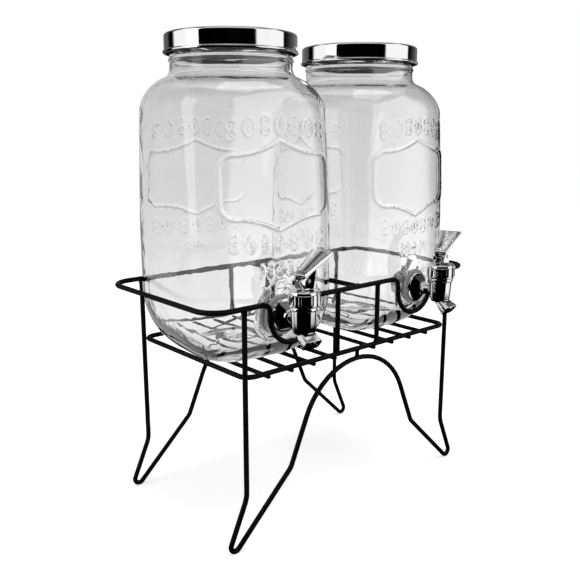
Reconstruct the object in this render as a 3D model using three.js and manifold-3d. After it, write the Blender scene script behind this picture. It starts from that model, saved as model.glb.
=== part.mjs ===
// Double beverage dispenser: two glass jars with screw lids and lever taps on one wire stand.
// Millimetres, +Z up, taps towards -Y. The origin is on the floor, under the middle of the whole object.
import * as THREE from 'three';
import { mergeVertices } from 'three/addons/utils/BufferGeometryUtils.js';
import Module from 'manifold-3d';

const wasm = await Module();
wasm.setup();

// Gaps and overruns
const gap = 0.3; // between pieces that touch
const overrun = 1; // how far a cut runs past the face that it leaves
const smallestEdge = 0.02; // shorter edges that a cut leaves behind are closed up

// Jar
const jarHalfWidth = 74;
const jarWall = 3.5;
const jarFloor = 8;
const heelReach = 42;
const heelHeight = 60;
const puntRise = 3;
const puntReach = 22;
const shoulderRadius = 28;
const shoulderHeight = 215;
const neckRadius = 52.5;
const neckFillet = 8;
const neckLength = 25;
const neckBeadRise = 1.1;
const neckBeadHeight = 3;
const neckBeadDrop = 5; // from the lid's lower edge down to the middle of the bead below it
const threadDrop = 6.5; // from the jar's mouth down to the middle of the thread's bead
const bodySquareness = 3.6; // exponent of the rounded square section, where 2 is a circle
const shoulderSquareness = 2.7;
const squareBodyHeight = 112;

// Label frame moulded on the front and the back of each jar
const frameHalfWidth = 52;
const frameHeight = 71;
const frameDrop = 61.5; // from the shoulder down to the frame's middle
const frameCorner = 12;
const frameTipRise = 10.5;
const frameTipReach = 40;
const ribWidth = 4;
const ribRise = 1.2;
const ribRoot = 2.2;

// Pad moulded round the tap's hole, flat outside and inside
const tapHeight = 48.25; // above the jar's base
const padRadius = 18;
const padRise = 0.5;
const padThickness = 9.6;

// Lid
const lidRadius = 56.5;
const lidDepth = 16.5;
const lidWall = 1.2;
const lidBeadRise = 1.4;
const lidBeadHeight = 2.4;
const lidEdge = 1.6;
const lidPanelRadius = 49;
const lidPanelDrop = 0.4;
const linerThickness = 1.5;
const linerClearance = 0.7;

// Tap body
const tapReach = 107; // from the jar's axis to the valve's axis
const shankRadius = 7.9;
const shankClearance = 0.4;
const shankTail = 2.4; // how far the shank stands out of the lock nut
const waterwayRadius = 4.8;
const flangeRadius = 14.2;
const flangeThickness = 2.2;
const domeHeight = 6.7;
const domeTopRadius = 7;
const tapNeckRadius = 5.5;
const barrelRadius = 11;
const barrelFootRadius = 9;
const barrelDrop = 9.5; // from the tap's axis down to the foot of the barrel
const barrelFootHeight = 4;
const ringRadius = 12;
const ringRise = 11;
const ringHeight = 2.5;
const chamberRadius = 7;
const seatDrop = 5.2;
const seatRadius = 4.5;
const bonnetRadius = 9.2;
const bonnetRise = 19.3;

// Spout
const throatDrop = 6.6; // from the tap's axis down to the level throat of the spout
const throatShare = 0.8; // size of the throat over that of the mouth
const mouthReach = 11.2; // from the valve's axis forward to the middle of the mouth
const mouthDrop = 16.6; // from the tap's axis down to the middle of the mouth
const mouthLean = THREE.MathUtils.degToRad(50); // how far the mouth turns up from facing the floor
const mouthHalfWidth = 8.4;
const mouthHalfDepth = 5.6;
const spoutWall = 1.3;

// Gaskets and lock nut
const outerGasketRadius = 17;
const outerGasketThickness = 3;
const innerGasketRadius = 13;
const innerGasketThickness = 2.8;
const nutRadius = 13;
const nutThickness = 6;
const nutClearance = 0.3;

// Collar and the seal under it
const collarRadius = 13;
const collarCap = 4.5;
const collarClearance = 0.3;
const fluteCount = 16;
const fluteDepth = 0.7;
const fluteShares = [0, 0.52, 0.62, 0.9]; // the ends of a crest, then the ends of the floor beside it
const bonnetSealThickness = 2.1;

// Stem, pin and lever
const stemRadius = 2.5;
const stemClearance = 0.4;
const sealRadius = 6.3;
const sealThickness = 3.7;
const sealSleeveRadius = 4.5;
const sealSleeveHeight = 4.5;
const sealNoseRadius = 3.8;
const sealNoseDrop = 1.8;
const stemSocketDepth = 0.7;
const pinRadius = 1.3;
const eyeRadius = 3.4;
const leverHeading = THREE.MathUtils.degToRad(15); // from the stand's length, towards the back
const leverWidth = 10.5;
const leverTipWidth = 21;
const leverLength = 34;
const leverThickness = 3.5;
const leverTilt = THREE.MathUtils.degToRad(28);
const leverTail = 7;
const leverTailRise = 5.5;
const leverRecess = 1.2;
const leverRecessBorder = 1.9;
const slotClearance = 0.3;
const camDrop = 7; // from the pin down to the flat of the cam
const camFlat = 7;
const camLift = 3;
const camTurn = THREE.MathUtils.degToRad(85);
const camSteps = 6;
const cheekReach = 11;

// How far each jar stands turned in the stand
const leftTurn = THREE.MathUtils.degToRad(-6);
const rightTurn = THREE.MathUtils.degToRad(3);

// Stand
const wireRadius = 2.25;
const crossWireRadius = 2;
const stubRadius = 1.9;
const stubLength = 3.9;
const dividerClearance = 2.25;
const rimClearance = 3.75;
const handleClearance = 7.25;
const trayHeight = 150;
const trayInset = 24.2; // from a jar's outer side in to the tray's end
const trayCorner = 10;
const rimRise = 58;
const rimCorner = 20;
const dipRadius = 24;
const dipDepth = 36;
const dipCorner = 8;
const crossWiresPerJar = 4;
const crossWireTail = 1.5;
const legBreakHeight = 46;
const legBreakRadius = 25;
const footSpread = 13.2; // how far a foot stands out past the tray's end
const footBend = 4.7;
const footFlat = 0.3;
const footLength = 61; // from a foot in to the knee beside it
const kneeHeight = 58;
const kneeRadius = 15;
const kneeSpread = 12.5; // how far a knee stands out past the side of the arch

// Facets
const wireSides = 8;
const bendStep = THREE.MathUtils.degToRad(15);
const jarSides = 32;
const roundSides = 24;
const smallSides = 16;
const arcSteps = 5;
const insideSteps = 3;
const sideSteps = 2;

// Places worked out from the sizes above
const neckLean = Math.acos((neckRadius + neckFillet - jarHalfWidth + shoulderRadius)
  / (shoulderRadius + neckFillet));
const neckFoot = shoulderHeight + (shoulderRadius + neckFillet) * Math.sin(neckLean);
const jarHeight = neckFoot + neckLength;
const frameMiddle = shoulderHeight - frameDrop;
const jarOffset = wireRadius + dividerClearance + jarHalfWidth;
const rimHalfWidth = jarHalfWidth + rimClearance + wireRadius;
const rimHalfLength = jarOffset + jarHalfWidth + handleClearance + wireRadius;
const rimHeight = trayHeight + rimRise;
const trayHalfLength = jarOffset + jarHalfWidth - trayInset;
const footReach = trayHalfLength + footSpread;
const kneeReach = footReach - footLength;
const archRadius = kneeReach - kneeSpread;
const archHeight = trayHeight - 2 * (wireRadius + gap) - stubLength;
const crossWireHeight = trayHeight - wireRadius - gap - crossWireRadius;
const jarBase = crossWireHeight + crossWireRadius + gap;
const legOffset = trayHalfLength - trayCorner
  + Math.sqrt((trayCorner + 2 * wireRadius + gap) ** 2 - trayCorner ** 2);
const crossWirePitch = trayHalfLength / (crossWiresPerJar + 1);
const lidTop = jarHeight + linerThickness + 2 * gap + lidWall;
const lidFoot = lidTop - lidDepth;
const padFace = jarHalfWidth + padRise;
const innerPadFace = padFace - padThickness;
const flangeFace = padFace + outerGasketThickness + 2 * gap;
const nutFace = innerPadFace - innerGasketThickness - 2 * gap;
const shankEnd = nutFace - nutThickness - shankTail;
const ringTop = ringRise + ringHeight;
const collarFoot = ringTop + gap;
const bonnetSealFoot = bonnetRise + gap;
const collarCeiling = bonnetSealFoot + bonnetSealThickness + gap;
const collarTop = collarCeiling + collarCap;
const pinHeight = collarTop + gap + camDrop;
const sealFoot = gap - seatDrop;
const sealTop = sealFoot + sealThickness;
const stemFoot = sealTop - stemSocketDepth + gap;

// Colours and finishes
const glass = new THREE.MeshStandardMaterial({
  color: 0xdfe3e4, roughness: 0.05, metalness: 0, transparent: true, opacity: 0.35,
});
const blackCoat = new THREE.MeshStandardMaterial({ color: 0x101112, roughness: 0.45, metalness: 0.1 });
const chrome = new THREE.MeshStandardMaterial({ color: 0xdadada, roughness: 0.08, metalness: 1 });
const silicone = new THREE.MeshStandardMaterial({ color: 0xc2c5c6, roughness: 0.5, metalness: 0 });
const darkRubber = new THREE.MeshStandardMaterial({ color: 0x2b2b2c, roughness: 0.7, metalness: 0 });
const steel = new THREE.MeshStandardMaterial({ color: 0xb4b6b8, roughness: 0.25, metalness: 1 });

// A closed geometry: only positions, with shared corners merged and collapsed triangles left out
function closed(geometry) {
  const bare = geometry.clone();
  bare.deleteAttribute('normal');
  bare.deleteAttribute('uv');
  const merged = mergeVertices(bare);
  const corners = merged.index.array;
  const kept = [];
  for (let i = 0; i < corners.length; i += 3) {
    const [a, b, c] = [corners[i], corners[i + 1], corners[i + 2]];
    if (a !== b && b !== c && c !== a) kept.push(a, b, c);
  }
  merged.setIndex(kept);
  return merged;
}

// A solid for joining and cutting, from a closed geometry
function solid(geometry) {
  const clean = closed(geometry);
  return new wasm.Manifold(new wasm.Mesh({
    numProp: 3,
    vertProperties: new Float32Array(clean.attributes.position.array),
    triVerts: new Uint32Array(clean.index.array),
  }));
}

// The geometry of a joined or cut solid
function geometryOf(body) {
  const mesh = body.simplify(smallestEdge).getMesh();
  const geometry = new THREE.BufferGeometry();
  geometry.setAttribute('position', new THREE.Float32BufferAttribute(mesh.vertProperties, 3));
  geometry.setIndex(Array.from(mesh.triVerts));
  return geometry;
}

// Rings of points joined into one skin, capped at its two ends or closed on itself
function skin(rings, loop) {
  const sides = rings[0].length;
  const positions = rings.flat().flatMap((point) => [point.x, point.y, point.z]);
  const faces = [];
  const ringCount = rings.length;
  const bands = loop ? ringCount : ringCount - 1;
  for (let r = 0; r < bands; r += 1) {
    const here = r * sides;
    const next = ((r + 1) % ringCount) * sides;
    for (let s = 0; s < sides; s += 1) {
      const t = (s + 1) % sides;
      faces.push(here + s, here + t, next + t, here + s, next + t, next + s);
    }
  }
  if (!loop) {
    const last = (ringCount - 1) * sides;
    for (let s = 1; s < sides - 1; s += 1) {
      faces.push(0, s + 1, s, last, last + s, last + s + 1);
    }
  }
  const geometry = new THREE.BufferGeometry();
  geometry.setAttribute('position', new THREE.Float32BufferAttribute(positions, 3));
  geometry.setIndex(faces);
  return geometry;
}

// The line of a bent wire: straight runs between the corners, each corner rounded to its own radius
function bentLine(corners, loop) {
  const line = [];
  corners.forEach(({ at, radius }, index) => {
    const before = corners[(index + corners.length - 1) % corners.length].at;
    const after = corners[(index + 1) % corners.length].at;
    const isEnd = !loop && (index === 0 || index === corners.length - 1);
    if (isEnd || !radius) {
      line.push(at.clone());
      return;
    }
    const back = before.clone().sub(at).normalize();
    const ahead = after.clone().sub(at).normalize();
    const half = back.angleTo(ahead) / 2;
    const middle = back.clone().add(ahead).normalize();
    const centre = at.clone().addScaledVector(middle, radius / Math.sin(half));
    const start = at.clone().addScaledVector(back, radius / Math.tan(half)).sub(centre);
    const turn = Math.PI - 2 * half;
    const axis = back.clone().cross(ahead).normalize().negate();
    const steps = Math.max(2, Math.round(turn / bendStep));
    for (let i = 0; i <= steps; i += 1) {
      line.push(start.clone().applyAxisAngle(axis, (turn * i) / steps).add(centre));
    }
  });
  return line.filter((point, index) => {
    if (index === 0 && !loop) return true;
    return point.distanceTo(line[(index + line.length - 1) % line.length]) > gap;
  });
}

// A round wire along a line, with no twist; the flat of the facets faces the given side
function wire(corners, radius, loop = false, side = new THREE.Vector3(0, 1, 0), sides = wireSides) {
  const line = bentLine(corners, loop);
  const count = line.length;
  const heading = (i) => {
    const from = loop ? line[(i + count - 1) % count] : line[Math.max(i - 1, 0)];
    const to = loop ? line[(i + 1) % count] : line[Math.min(i + 1, count - 1)];
    const into = line[i].clone().sub(from);
    const out = to.clone().sub(line[i]);
    if (into.length() > 0) into.normalize();
    if (out.length() > 0) out.normalize();
    return into.add(out).normalize();
  };
  let across = side.clone();
  const rings = line.map((point, i) => {
    const along = heading(i);
    across = across.clone().addScaledVector(along, -across.dot(along)).normalize();
    const other = along.clone().cross(across);
    return Array.from({ length: sides }, (_, s) => {
      const angle = (2 * Math.PI * (s + 0.5)) / sides;
      return point.clone()
        .addScaledVector(across, radius * Math.cos(angle))
        .addScaledVector(other, radius * Math.sin(angle));
    });
  });
  return skin(rings, loop);
}

// A turned piece about the vertical, from a profile of [radius, height] that starts and ends on the axis
// or closes on itself
function turned(profile, sides = roundSides) {
  const points = profile.map(([radius, height]) => new THREE.Vector2(radius, height));
  const geometry = new THREE.LatheGeometry(points, sides);
  geometry.rotateX(Math.PI / 2);
  return geometry;
}

// The profile of a plain ring or, with no bore, a plain disc
function ringProfile(outer, bore, foot, top) {
  return [[bore, foot], [outer, foot], [outer, top], [bore, top], [bore, foot]];
}

// An upright post between two heights
function post(radius, foot, top, sides = roundSides) {
  const geometry = new THREE.CylinderGeometry(radius, radius, top - foot, sides);
  geometry.rotateX(Math.PI / 2);
  geometry.translate(0, 0, (foot + top) / 2);
  return geometry;
}

// Lays an upright piece along the tap's shank: its height becomes the distance out of the jar's axis
function outwards(geometry) {
  geometry.rotateX(Math.PI / 2);
  geometry.translate(0, 0, tapHeight);
  return geometry;
}

// Moves an upright piece from the tap's axis height to the valve's own axis
function onValve(geometry) {
  geometry.translate(0, -tapReach, tapHeight);
  return geometry;
}

// A block between two corners
function block(low, high) {
  const geometry = new THREE.BoxGeometry(high[0] - low[0], high[1] - low[1], high[2] - low[2]);
  geometry.translate((low[0] + high[0]) / 2, (low[1] + high[1]) / 2, (low[2] + high[2]) / 2);
  return geometry;
}

// How square the jar's section is at a height: rounded square below, round from the neck up
function squareness(height) {
  const roundHeight = shoulderHeight + shoulderRadius;
  if (height <= squareBodyHeight) return bodySquareness;
  if (height <= shoulderHeight) {
    const share = (height - squareBodyHeight) / (shoulderHeight - squareBodyHeight);
    return THREE.MathUtils.lerp(bodySquareness, shoulderSquareness, share);
  }
  const share = Math.min((height - shoulderHeight) / (roundHeight - shoulderHeight), 1);
  return THREE.MathUtils.lerp(shoulderSquareness, 2, share);
}

// One ring of the jar, a superellipse of the given half width
function jarRing(halfWidth, height) {
  const power = squareness(height);
  return Array.from({ length: jarSides }, (_, s) => {
    const angle = (2 * Math.PI * s) / jarSides;
    const across = Math.cos(angle);
    const deep = Math.sin(angle);
    const reach = halfWidth * (Math.abs(across) ** power + Math.abs(deep) ** power) ** (-1 / power);
    return new THREE.Vector3(reach * across, reach * deep, height);
  });
}

// Points of an arc from one angle to another, as [half width, height]
function arc(centreReach, centreHeight, reach, rise, from, to, steps = arcSteps) {
  return Array.from({ length: steps + 1 }, (_, i) => {
    const angle = from + ((to - from) * i) / steps;
    return [centreReach + reach * Math.cos(angle), centreHeight + rise * Math.sin(angle)];
  });
}

// The jar's side from its heel up to the neck, set in from the outside by the wall and the floor
function jarSide(inset, floor, steps) {
  const sideHeights = Array.from({ length: sideSteps }, (_, i) => (
    THREE.MathUtils.lerp(squareBodyHeight, shoulderHeight, i / sideSteps)
  ));
  const heelCentre = jarHalfWidth - heelReach;
  const shoulderCentre = jarHalfWidth - shoulderRadius;
  const shoulderArc = shoulderRadius - inset;
  const fillet = neckFillet + inset;
  const neck = neckRadius - inset;
  const filletCentre = neck + fillet;
  return [
    ...arc(heelCentre, heelHeight, heelReach - inset, heelHeight - floor, -Math.PI / 2, 0, steps),
    ...sideHeights.map((height) => [jarHalfWidth - inset, height]),
    ...arc(shoulderCentre, shoulderHeight, shoulderArc, shoulderArc, 0, neckLean, steps),
    ...arc(filletCentre, neckFoot, fillet, fillet, Math.PI + neckLean, Math.PI, steps).slice(1),
  ];
}

// A rounded bead round the neck, as [radius, height]
function neckBead(middle) {
  const half = neckBeadHeight / 2;
  return [
    [neckRadius, middle - half],
    [neckRadius + neckBeadRise, middle - half / 2],
    [neckRadius + neckBeadRise, middle + half / 2],
    [neckRadius, middle + half],
  ];
}

// The front of the jar at a place across and a height: the point on the glass, and the way out of it
function onFront(across, height) {
  const power = squareness(height);
  const share = Math.abs(across) / jarHalfWidth;
  const point = new THREE.Vector3(across, -jarHalfWidth * (1 - share ** power) ** (1 / power), height);
  const out = new THREE.Vector3(
    Math.sign(across) * share ** (power - 1),
    -((Math.abs(point.y) / jarHalfWidth) ** (power - 1)),
    0,
  ).normalize();
  return { point, out };
}

// The label frame's outline: upright sides, round corners, and an ogee up or down to a tip in the middle
function frameOutline() {
  const shoulder = frameHeight / 2 - frameTipRise;
  const quarter = [];
  for (let i = 0; i < arcSteps; i += 1) {
    const share = i / arcSteps;
    const rise = frameTipRise * (1 - Math.sin((Math.PI / 2) * share));
    quarter.push([frameTipReach * share, shoulder + rise]);
  }
  quarter.push(...arc(frameHalfWidth - frameCorner, shoulder - frameCorner,
    frameCorner, frameCorner, Math.PI / 2, 0));
  const half = [...quarter, ...quarter.slice().reverse().map(([x, z]) => [x, -z])];
  return [...half, ...half.slice(1, -1).reverse().map(([x, z]) => [-x, z])];
}

// The raised rib that follows the label frame on the jar's front, its root sunk in the glass
function labelRib() {
  const outline = frameOutline().map(([x, z]) => onFront(x, frameMiddle + z));
  const count = outline.length;
  const rings = outline.map(({ point, out }, i) => {
    const ahead = outline[(i + 1) % count].point.clone().sub(outline[(i + count - 1) % count].point);
    const across = out.clone().cross(ahead).normalize();
    const at = (side, rise) => point.clone().addScaledVector(across, side).addScaledVector(out, rise);
    return [
      at(ribWidth / 2, -ribRoot),
      at(ribWidth / 4, ribRise),
      at(-ribWidth / 4, ribRise),
      at(-ribWidth / 2, -ribRoot),
    ];
  });
  return skin(rings, true);
}

// The jar: one skin up the outside and down the inside, with its label frames, tap pads and tap hole
function makeJar() {
  const inside = jarSide(jarWall, jarFloor, insideSteps);
  const profile = [
    [puntReach, puntRise],
    ...jarSide(0, 0, arcSteps),
    ...neckBead(lidFoot - neckBeadDrop),
    ...neckBead(jarHeight - threadDrop),
    [neckRadius, jarHeight],
    [neckRadius - jarWall, jarHeight],
    ...inside.reverse(),
  ];
  const shell = solid(skin(profile.map(([halfWidth, height]) => jarRing(halfWidth, height)), false));
  const frontRib = solid(labelRib());
  const backRib = solid(labelRib().rotateZ(Math.PI));
  const pad = solid(outwards(post(padRadius, innerPadFace, padFace)));
  const bore = post(shankRadius + shankClearance, innerPadFace - overrun, padFace + overrun);
  const hole = solid(outwards(bore));
  return geometryOf(shell.add(frontRib).add(backRib).add(pad).subtract(hole));
}

// The screw lid: a thin shell with a rolled bead at its foot and a shallow panel on top
function makeLidShell() {
  const bore = lidRadius - lidWall;
  return closed(turned([
    [0, lidTop - lidWall],
    [bore, lidTop - lidWall],
    [bore, lidFoot],
    [lidRadius + lidBeadRise, lidFoot],
    [lidRadius + lidBeadRise, lidFoot + lidBeadHeight / 2],
    [lidRadius, lidFoot + lidBeadHeight],
    [lidRadius, lidTop - lidEdge],
    [lidRadius - lidEdge, lidTop],
    [lidPanelRadius, lidTop],
    [lidPanelRadius - lidPanelDrop, lidTop - lidPanelDrop],
    [0, lidTop - lidPanelDrop],
  ], jarSides));
}

// The liner in the lid, which lies on the jar's mouth
function makeLidLiner() {
  const foot = jarHeight + gap;
  return closed(post(lidRadius - lidWall - linerClearance, foot, foot + linerThickness, jarSides));
}

// A flat washer on the shank
function makeShankRing(outer, bore, near, far) {
  return closed(outwards(turned(ringProfile(outer, bore, near, far))));
}

// The hexagonal nut that clamps the tap from inside the jar
function makeLockNut() {
  const hexagon = solid(outwards(post(nutRadius, nutFace - nutThickness, nutFace, 6)));
  const bore = solid(outwards(post(shankRadius + nutClearance, nutFace - nutThickness - overrun,
    nutFace + overrun)));
  return geometryOf(hexagon.subtract(bore));
}

// A four-sided duct from a level throat under the valve to the slanting mouth, and some way out of that
function duct(halfWidth, halfDepth, beyond) {
  const out = new THREE.Vector3(0, -Math.sin(mouthLean), -Math.cos(mouthLean));
  const mouth = new THREE.Vector3(0, -mouthReach, -mouthDrop);
  const ring = (centre, lean, scale) => [[-1, -1], [1, -1], [1, 1], [-1, 1]].map(([side, front]) => (
    new THREE.Vector3(side * halfWidth, -front * halfDepth * Math.cos(lean), front * halfDepth * Math.sin(lean))
      .multiplyScalar(scale)
      .add(centre)
  ));
  return onValve(skin([
    ring(new THREE.Vector3(0, 0, -throatDrop), 0, throatShare),
    ring(mouth, mouthLean, 1),
    ring(mouth.clone().addScaledVector(out, beyond), mouthLean, 1),
  ], false));
}

// The tap's body: shank, flange, hexagonal dome, neck, barrel and spout, with the waterway cut through
function makeTapBody() {
  const domeFoot = flangeFace + flangeThickness;
  const domeTop = domeFoot + domeHeight;
  const dome = new THREE.CylinderGeometry(domeTopRadius, flangeRadius, domeHeight, 6);
  dome.rotateX(Math.PI / 2);
  dome.translate(0, 0, domeFoot + domeHeight / 2);
  const barrel = turned([
    [0, -barrelDrop],
    [barrelFootRadius, -barrelDrop],
    [barrelRadius, barrelFootHeight - barrelDrop],
    [barrelRadius, ringRise],
    [ringRadius, ringRise],
    [ringRadius, ringTop],
    [bonnetRadius, ringTop],
    [bonnetRadius, bonnetRise],
    [0, bonnetRise],
  ]);
  const body = solid(outwards(post(shankRadius, shankEnd, domeFoot)))
    .add(solid(outwards(post(flangeRadius, flangeFace, domeFoot))))
    .add(solid(outwards(dome)))
    .add(solid(outwards(post(tapNeckRadius, domeTop - overrun, tapReach))))
    .add(solid(onValve(barrel)))
    .add(solid(duct(mouthHalfWidth, mouthHalfDepth, gap)));
  const boreHalfWidth = mouthHalfWidth - spoutWall;
  const boreHalfDepth = mouthHalfDepth - spoutWall;
  return geometryOf(body
    .subtract(solid(outwards(post(waterwayRadius, shankEnd - overrun, tapReach, smallSides))))
    .subtract(solid(onValve(post(chamberRadius, -seatDrop, bonnetRise + overrun))))
    .subtract(solid(onValve(post(seatRadius, -throatDrop - overrun, overrun - seatDrop))))
    .subtract(solid(duct(boreHalfWidth, boreHalfDepth, overrun))));
}

// The fluted collar that screws on over the bonnet and holds its seal down
function makeCollar() {
  const outline = new THREE.Shape();
  for (let flute = 0; flute < fluteCount; flute += 1) {
    fluteShares.forEach((share, corner) => {
      const angle = (2 * Math.PI * (flute + share)) / fluteCount;
      const radius = corner < 2 ? collarRadius : collarRadius - fluteDepth;
      const step = flute + corner === 0 ? 'moveTo' : 'lineTo';
      outline[step](radius * Math.cos(angle), radius * Math.sin(angle));
    });
  }
  const depth = collarTop - collarFoot;
  const blank = new THREE.ExtrudeGeometry(outline, { depth, bevelEnabled: false });
  blank.translate(0, 0, collarFoot);
  const stemHole = post(stemRadius + stemClearance, collarFoot, collarTop + overrun, smallSides);
  return geometryOf(solid(onValve(blank))
    .subtract(solid(onValve(post(bonnetRadius + collarClearance, collarFoot - overrun, collarCeiling))))
    .subtract(solid(onValve(stemHole))));
}

// The washer between the bonnet and the collar, which seals the stem
function makeBonnetSeal() {
  return closed(onValve(turned(ringProfile(bonnetRadius, stemRadius + stemClearance, bonnetSealFoot,
    bonnetSealFoot + bonnetSealThickness))));
}

// The rubber plug on the foot of the stem, with a nose in the valve's seat
function makeValveSeal() {
  const socket = stemRadius + gap;
  return closed(onValve(turned([
    [0, sealFoot - sealNoseDrop],
    [sealNoseRadius, sealFoot - sealNoseDrop],
    [sealNoseRadius, sealFoot],
    [sealRadius, sealFoot],
    [sealRadius, sealTop],
    [sealSleeveRadius, sealTop],
    [sealSleeveRadius, sealTop + sealSleeveHeight],
    [socket, sealTop + sealSleeveHeight],
    [socket, sealTop - stemSocketDepth],
    [0, sealTop - stemSocketDepth],
  ], smallSides)));
}

// Turns a piece that is drawn about the lever's pin to the lever's heading, and sets it on the valve
function onPin(geometry) {
  geometry.rotateZ(leverHeading);
  geometry.translate(0, 0, pinHeight);
  return onValve(geometry);
}

// A round bar through the lever's pin, square to the lever
function crossBar(radius, length, sides = smallSides) {
  return onPin(new THREE.CylinderGeometry(radius, radius, length, sides));
}

// The stem: a round rod that ends in an eye for the pin
function makeStem() {
  const rod = solid(onValve(post(stemRadius, stemFoot, pinHeight, smallSides)));
  const eye = solid(crossBar(eyeRadius, 2 * stemRadius));
  return geometryOf(rod.add(eye).subtract(solid(crossBar(pinRadius + gap, leverWidth))));
}

// The cam's edge: its distance from the pin grows evenly with the lever's turn
function camEdge() {
  const growth = camLift / camTurn;
  return Array.from({ length: camSteps + 1 }, (_, i) => {
    const turn = (camTurn * i) / camSteps;
    const drop = camDrop + growth * turn;
    return [
      -drop * Math.sin(turn) - growth * Math.cos(turn),
      -drop * Math.cos(turn) + growth * Math.sin(turn),
    ];
  });
}

// A flat plate under the lever's tilt, wider at its tip, from a border inside its outline
function paddle(border, top, bottom) {
  const half = leverWidth / 2 - border;
  const tipHalf = leverTipWidth / 2 - border;
  const outline = new THREE.Shape();
  outline.moveTo(border, -half);
  outline.lineTo(leverLength - border, -tipHalf);
  outline.lineTo(leverLength - border, tipHalf);
  outline.lineTo(border, half);
  const plate = new THREE.ExtrudeGeometry(outline, { depth: top - bottom, bevelEnabled: false });
  plate.translate(0, 0, bottom);
  plate.rotateY(-leverTilt);
  plate.translate(-leverTail, 0, leverTailRise);
  return onPin(plate);
}

// The lever: a tilted paddle with a recessed top, over a forked hub whose cam rides on the collar
function makeLever() {
  const cam = camEdge();
  const underside = (x) => leverTailRise - leverThickness / Math.cos(leverTilt)
    + (x + leverTail) * Math.tan(leverTilt) + overrun;
  const tailFoot = -leverTail + leverThickness * Math.sin(leverTilt);
  const outline = new THREE.Shape();
  outline.moveTo(camFlat, -camDrop);
  cam.forEach(([x, z]) => outline.lineTo(x, z));
  outline.lineTo(tailFoot, underside(tailFoot));
  outline.lineTo(cheekReach, underside(cheekReach));
  const hub = new THREE.ExtrudeGeometry(outline, { depth: leverWidth, bevelEnabled: false });
  hub.rotateX(Math.PI / 2);
  hub.translate(0, leverWidth / 2, 0);
  const slotHalf = stemRadius + slotClearance;
  const eyeRoom = eyeRadius + slotClearance;
  const slot = block(
    [cam[camSteps][0] - overrun, -slotHalf, -camDrop - overrun],
    [eyeRoom, slotHalf, eyeRoom],
  );
  return geometryOf(solid(paddle(0, 0, -leverThickness))
    .add(solid(onPin(hub)))
    .subtract(solid(paddle(leverRecessBorder, overrun, -leverRecess)))
    .subtract(solid(onPin(slot)))
    .subtract(solid(crossBar(pinRadius + gap, leverWidth + overrun))));
}

// One named piece
function piece(name, geometry, material) {
  const mesh = new THREE.Mesh(geometry, material.clone());
  mesh.name = name;
  return mesh;
}

// A jar with its lid and its tap, drawn about the jar's axis with its base at height zero
function makeDispenser(side, offset, turn) {
  const shankBore = shankRadius + shankClearance;
  const dispenser = new THREE.Group();
  dispenser.add(
    piece(`${side}_jar`, makeJar(), glass),
    piece(`${side}_lid_shell`, makeLidShell(), chrome),
    piece(`${side}_lid_liner`, makeLidLiner(), darkRubber),
    piece(`${side}_outer_gasket`,
      makeShankRing(outerGasketRadius, shankBore, padFace + gap, flangeFace - gap), silicone),
    piece(`${side}_inner_gasket`,
      makeShankRing(innerGasketRadius, shankBore, nutFace + gap, innerPadFace - gap), silicone),
    piece(`${side}_lock_nut`, makeLockNut(), steel),
    piece(`${side}_tap_body`, makeTapBody(), chrome),
    piece(`${side}_tap_collar`, makeCollar(), chrome),
    piece(`${side}_bonnet_seal`, makeBonnetSeal(), darkRubber),
    piece(`${side}_valve_seal`, makeValveSeal(), darkRubber),
    piece(`${side}_valve_stem`, makeStem(), steel),
    piece(`${side}_lever_pin`, closed(crossBar(pinRadius, leverWidth)), steel),
    piece(`${side}_lever`, makeLever(), chrome),
  );
  dispenser.position.set(offset, 0, jarBase);
  dispenser.rotation.z = turn;
  return dispenser;
}

// A corner of a wire, with the radius it is bent to
const corner = (x, y, z, radius = 0) => ({ at: new THREE.Vector3(x, y, z), radius });

// The top rim: one closed wire whose front dips round each tap
function makeRim() {
  const front = -rimHalfWidth;
  const dipFloor = rimHeight - dipDepth;
  const dip = (centre) => [
    corner(centre - dipRadius, front, rimHeight, dipCorner),
    corner(centre - dipRadius, front, dipFloor, dipRadius),
    corner(centre + dipRadius, front, dipFloor, dipRadius),
    corner(centre + dipRadius, front, rimHeight, dipCorner),
  ];
  const corners = [
    corner(rimHalfLength, rimHalfWidth, rimHeight, rimCorner),
    corner(-rimHalfLength, rimHalfWidth, rimHeight, rimCorner),
    corner(-rimHalfLength, front, rimHeight, rimCorner),
    ...dip(-jarOffset),
    ...dip(jarOffset),
    corner(rimHalfLength, front, rimHeight, rimCorner),
  ];
  return closed(wire(corners, wireRadius, true, new THREE.Vector3(0, 0, 1)));
}

// The tray's loop, which the cross wires are welded under
function makeTrayLoop() {
  const corners = [[1, 1], [-1, 1], [-1, -1], [1, -1]].map(([x, y]) => (
    corner(x * trayHalfLength, y * rimHalfWidth, trayHeight, trayCorner)
  ));
  return closed(wire(corners, wireRadius, true, new THREE.Vector3(0, 0, 1)));
}

// A straight wire between two points
function straight(from, to, radius) {
  const side = Math.abs(to[2] - from[2]) > 0 ? new THREE.Vector3(0, 1, 0) : new THREE.Vector3(0, 0, 1);
  return closed(wire([corner(...from), corner(...to)], radius, false, side));
}

// Where the straight wires from two points would cross, each of them a tangent to the same bend
function tangentCrossing(first, second, centre, radius) {
  const tangent = (point, sign) => {
    const away = point.clone().sub(centre);
    const angle = away.angle() + sign * Math.acos(radius / away.length());
    const touch = new THREE.Vector2(Math.cos(angle), Math.sin(angle)).multiplyScalar(radius).add(centre);
    return touch.sub(point);
  };
  const a = tangent(first, -1);
  const b = tangent(second, 1);
  const between = second.clone().sub(first);
  return first.clone().addScaledVector(a, between.cross(b) / a.cross(b));
}

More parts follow.
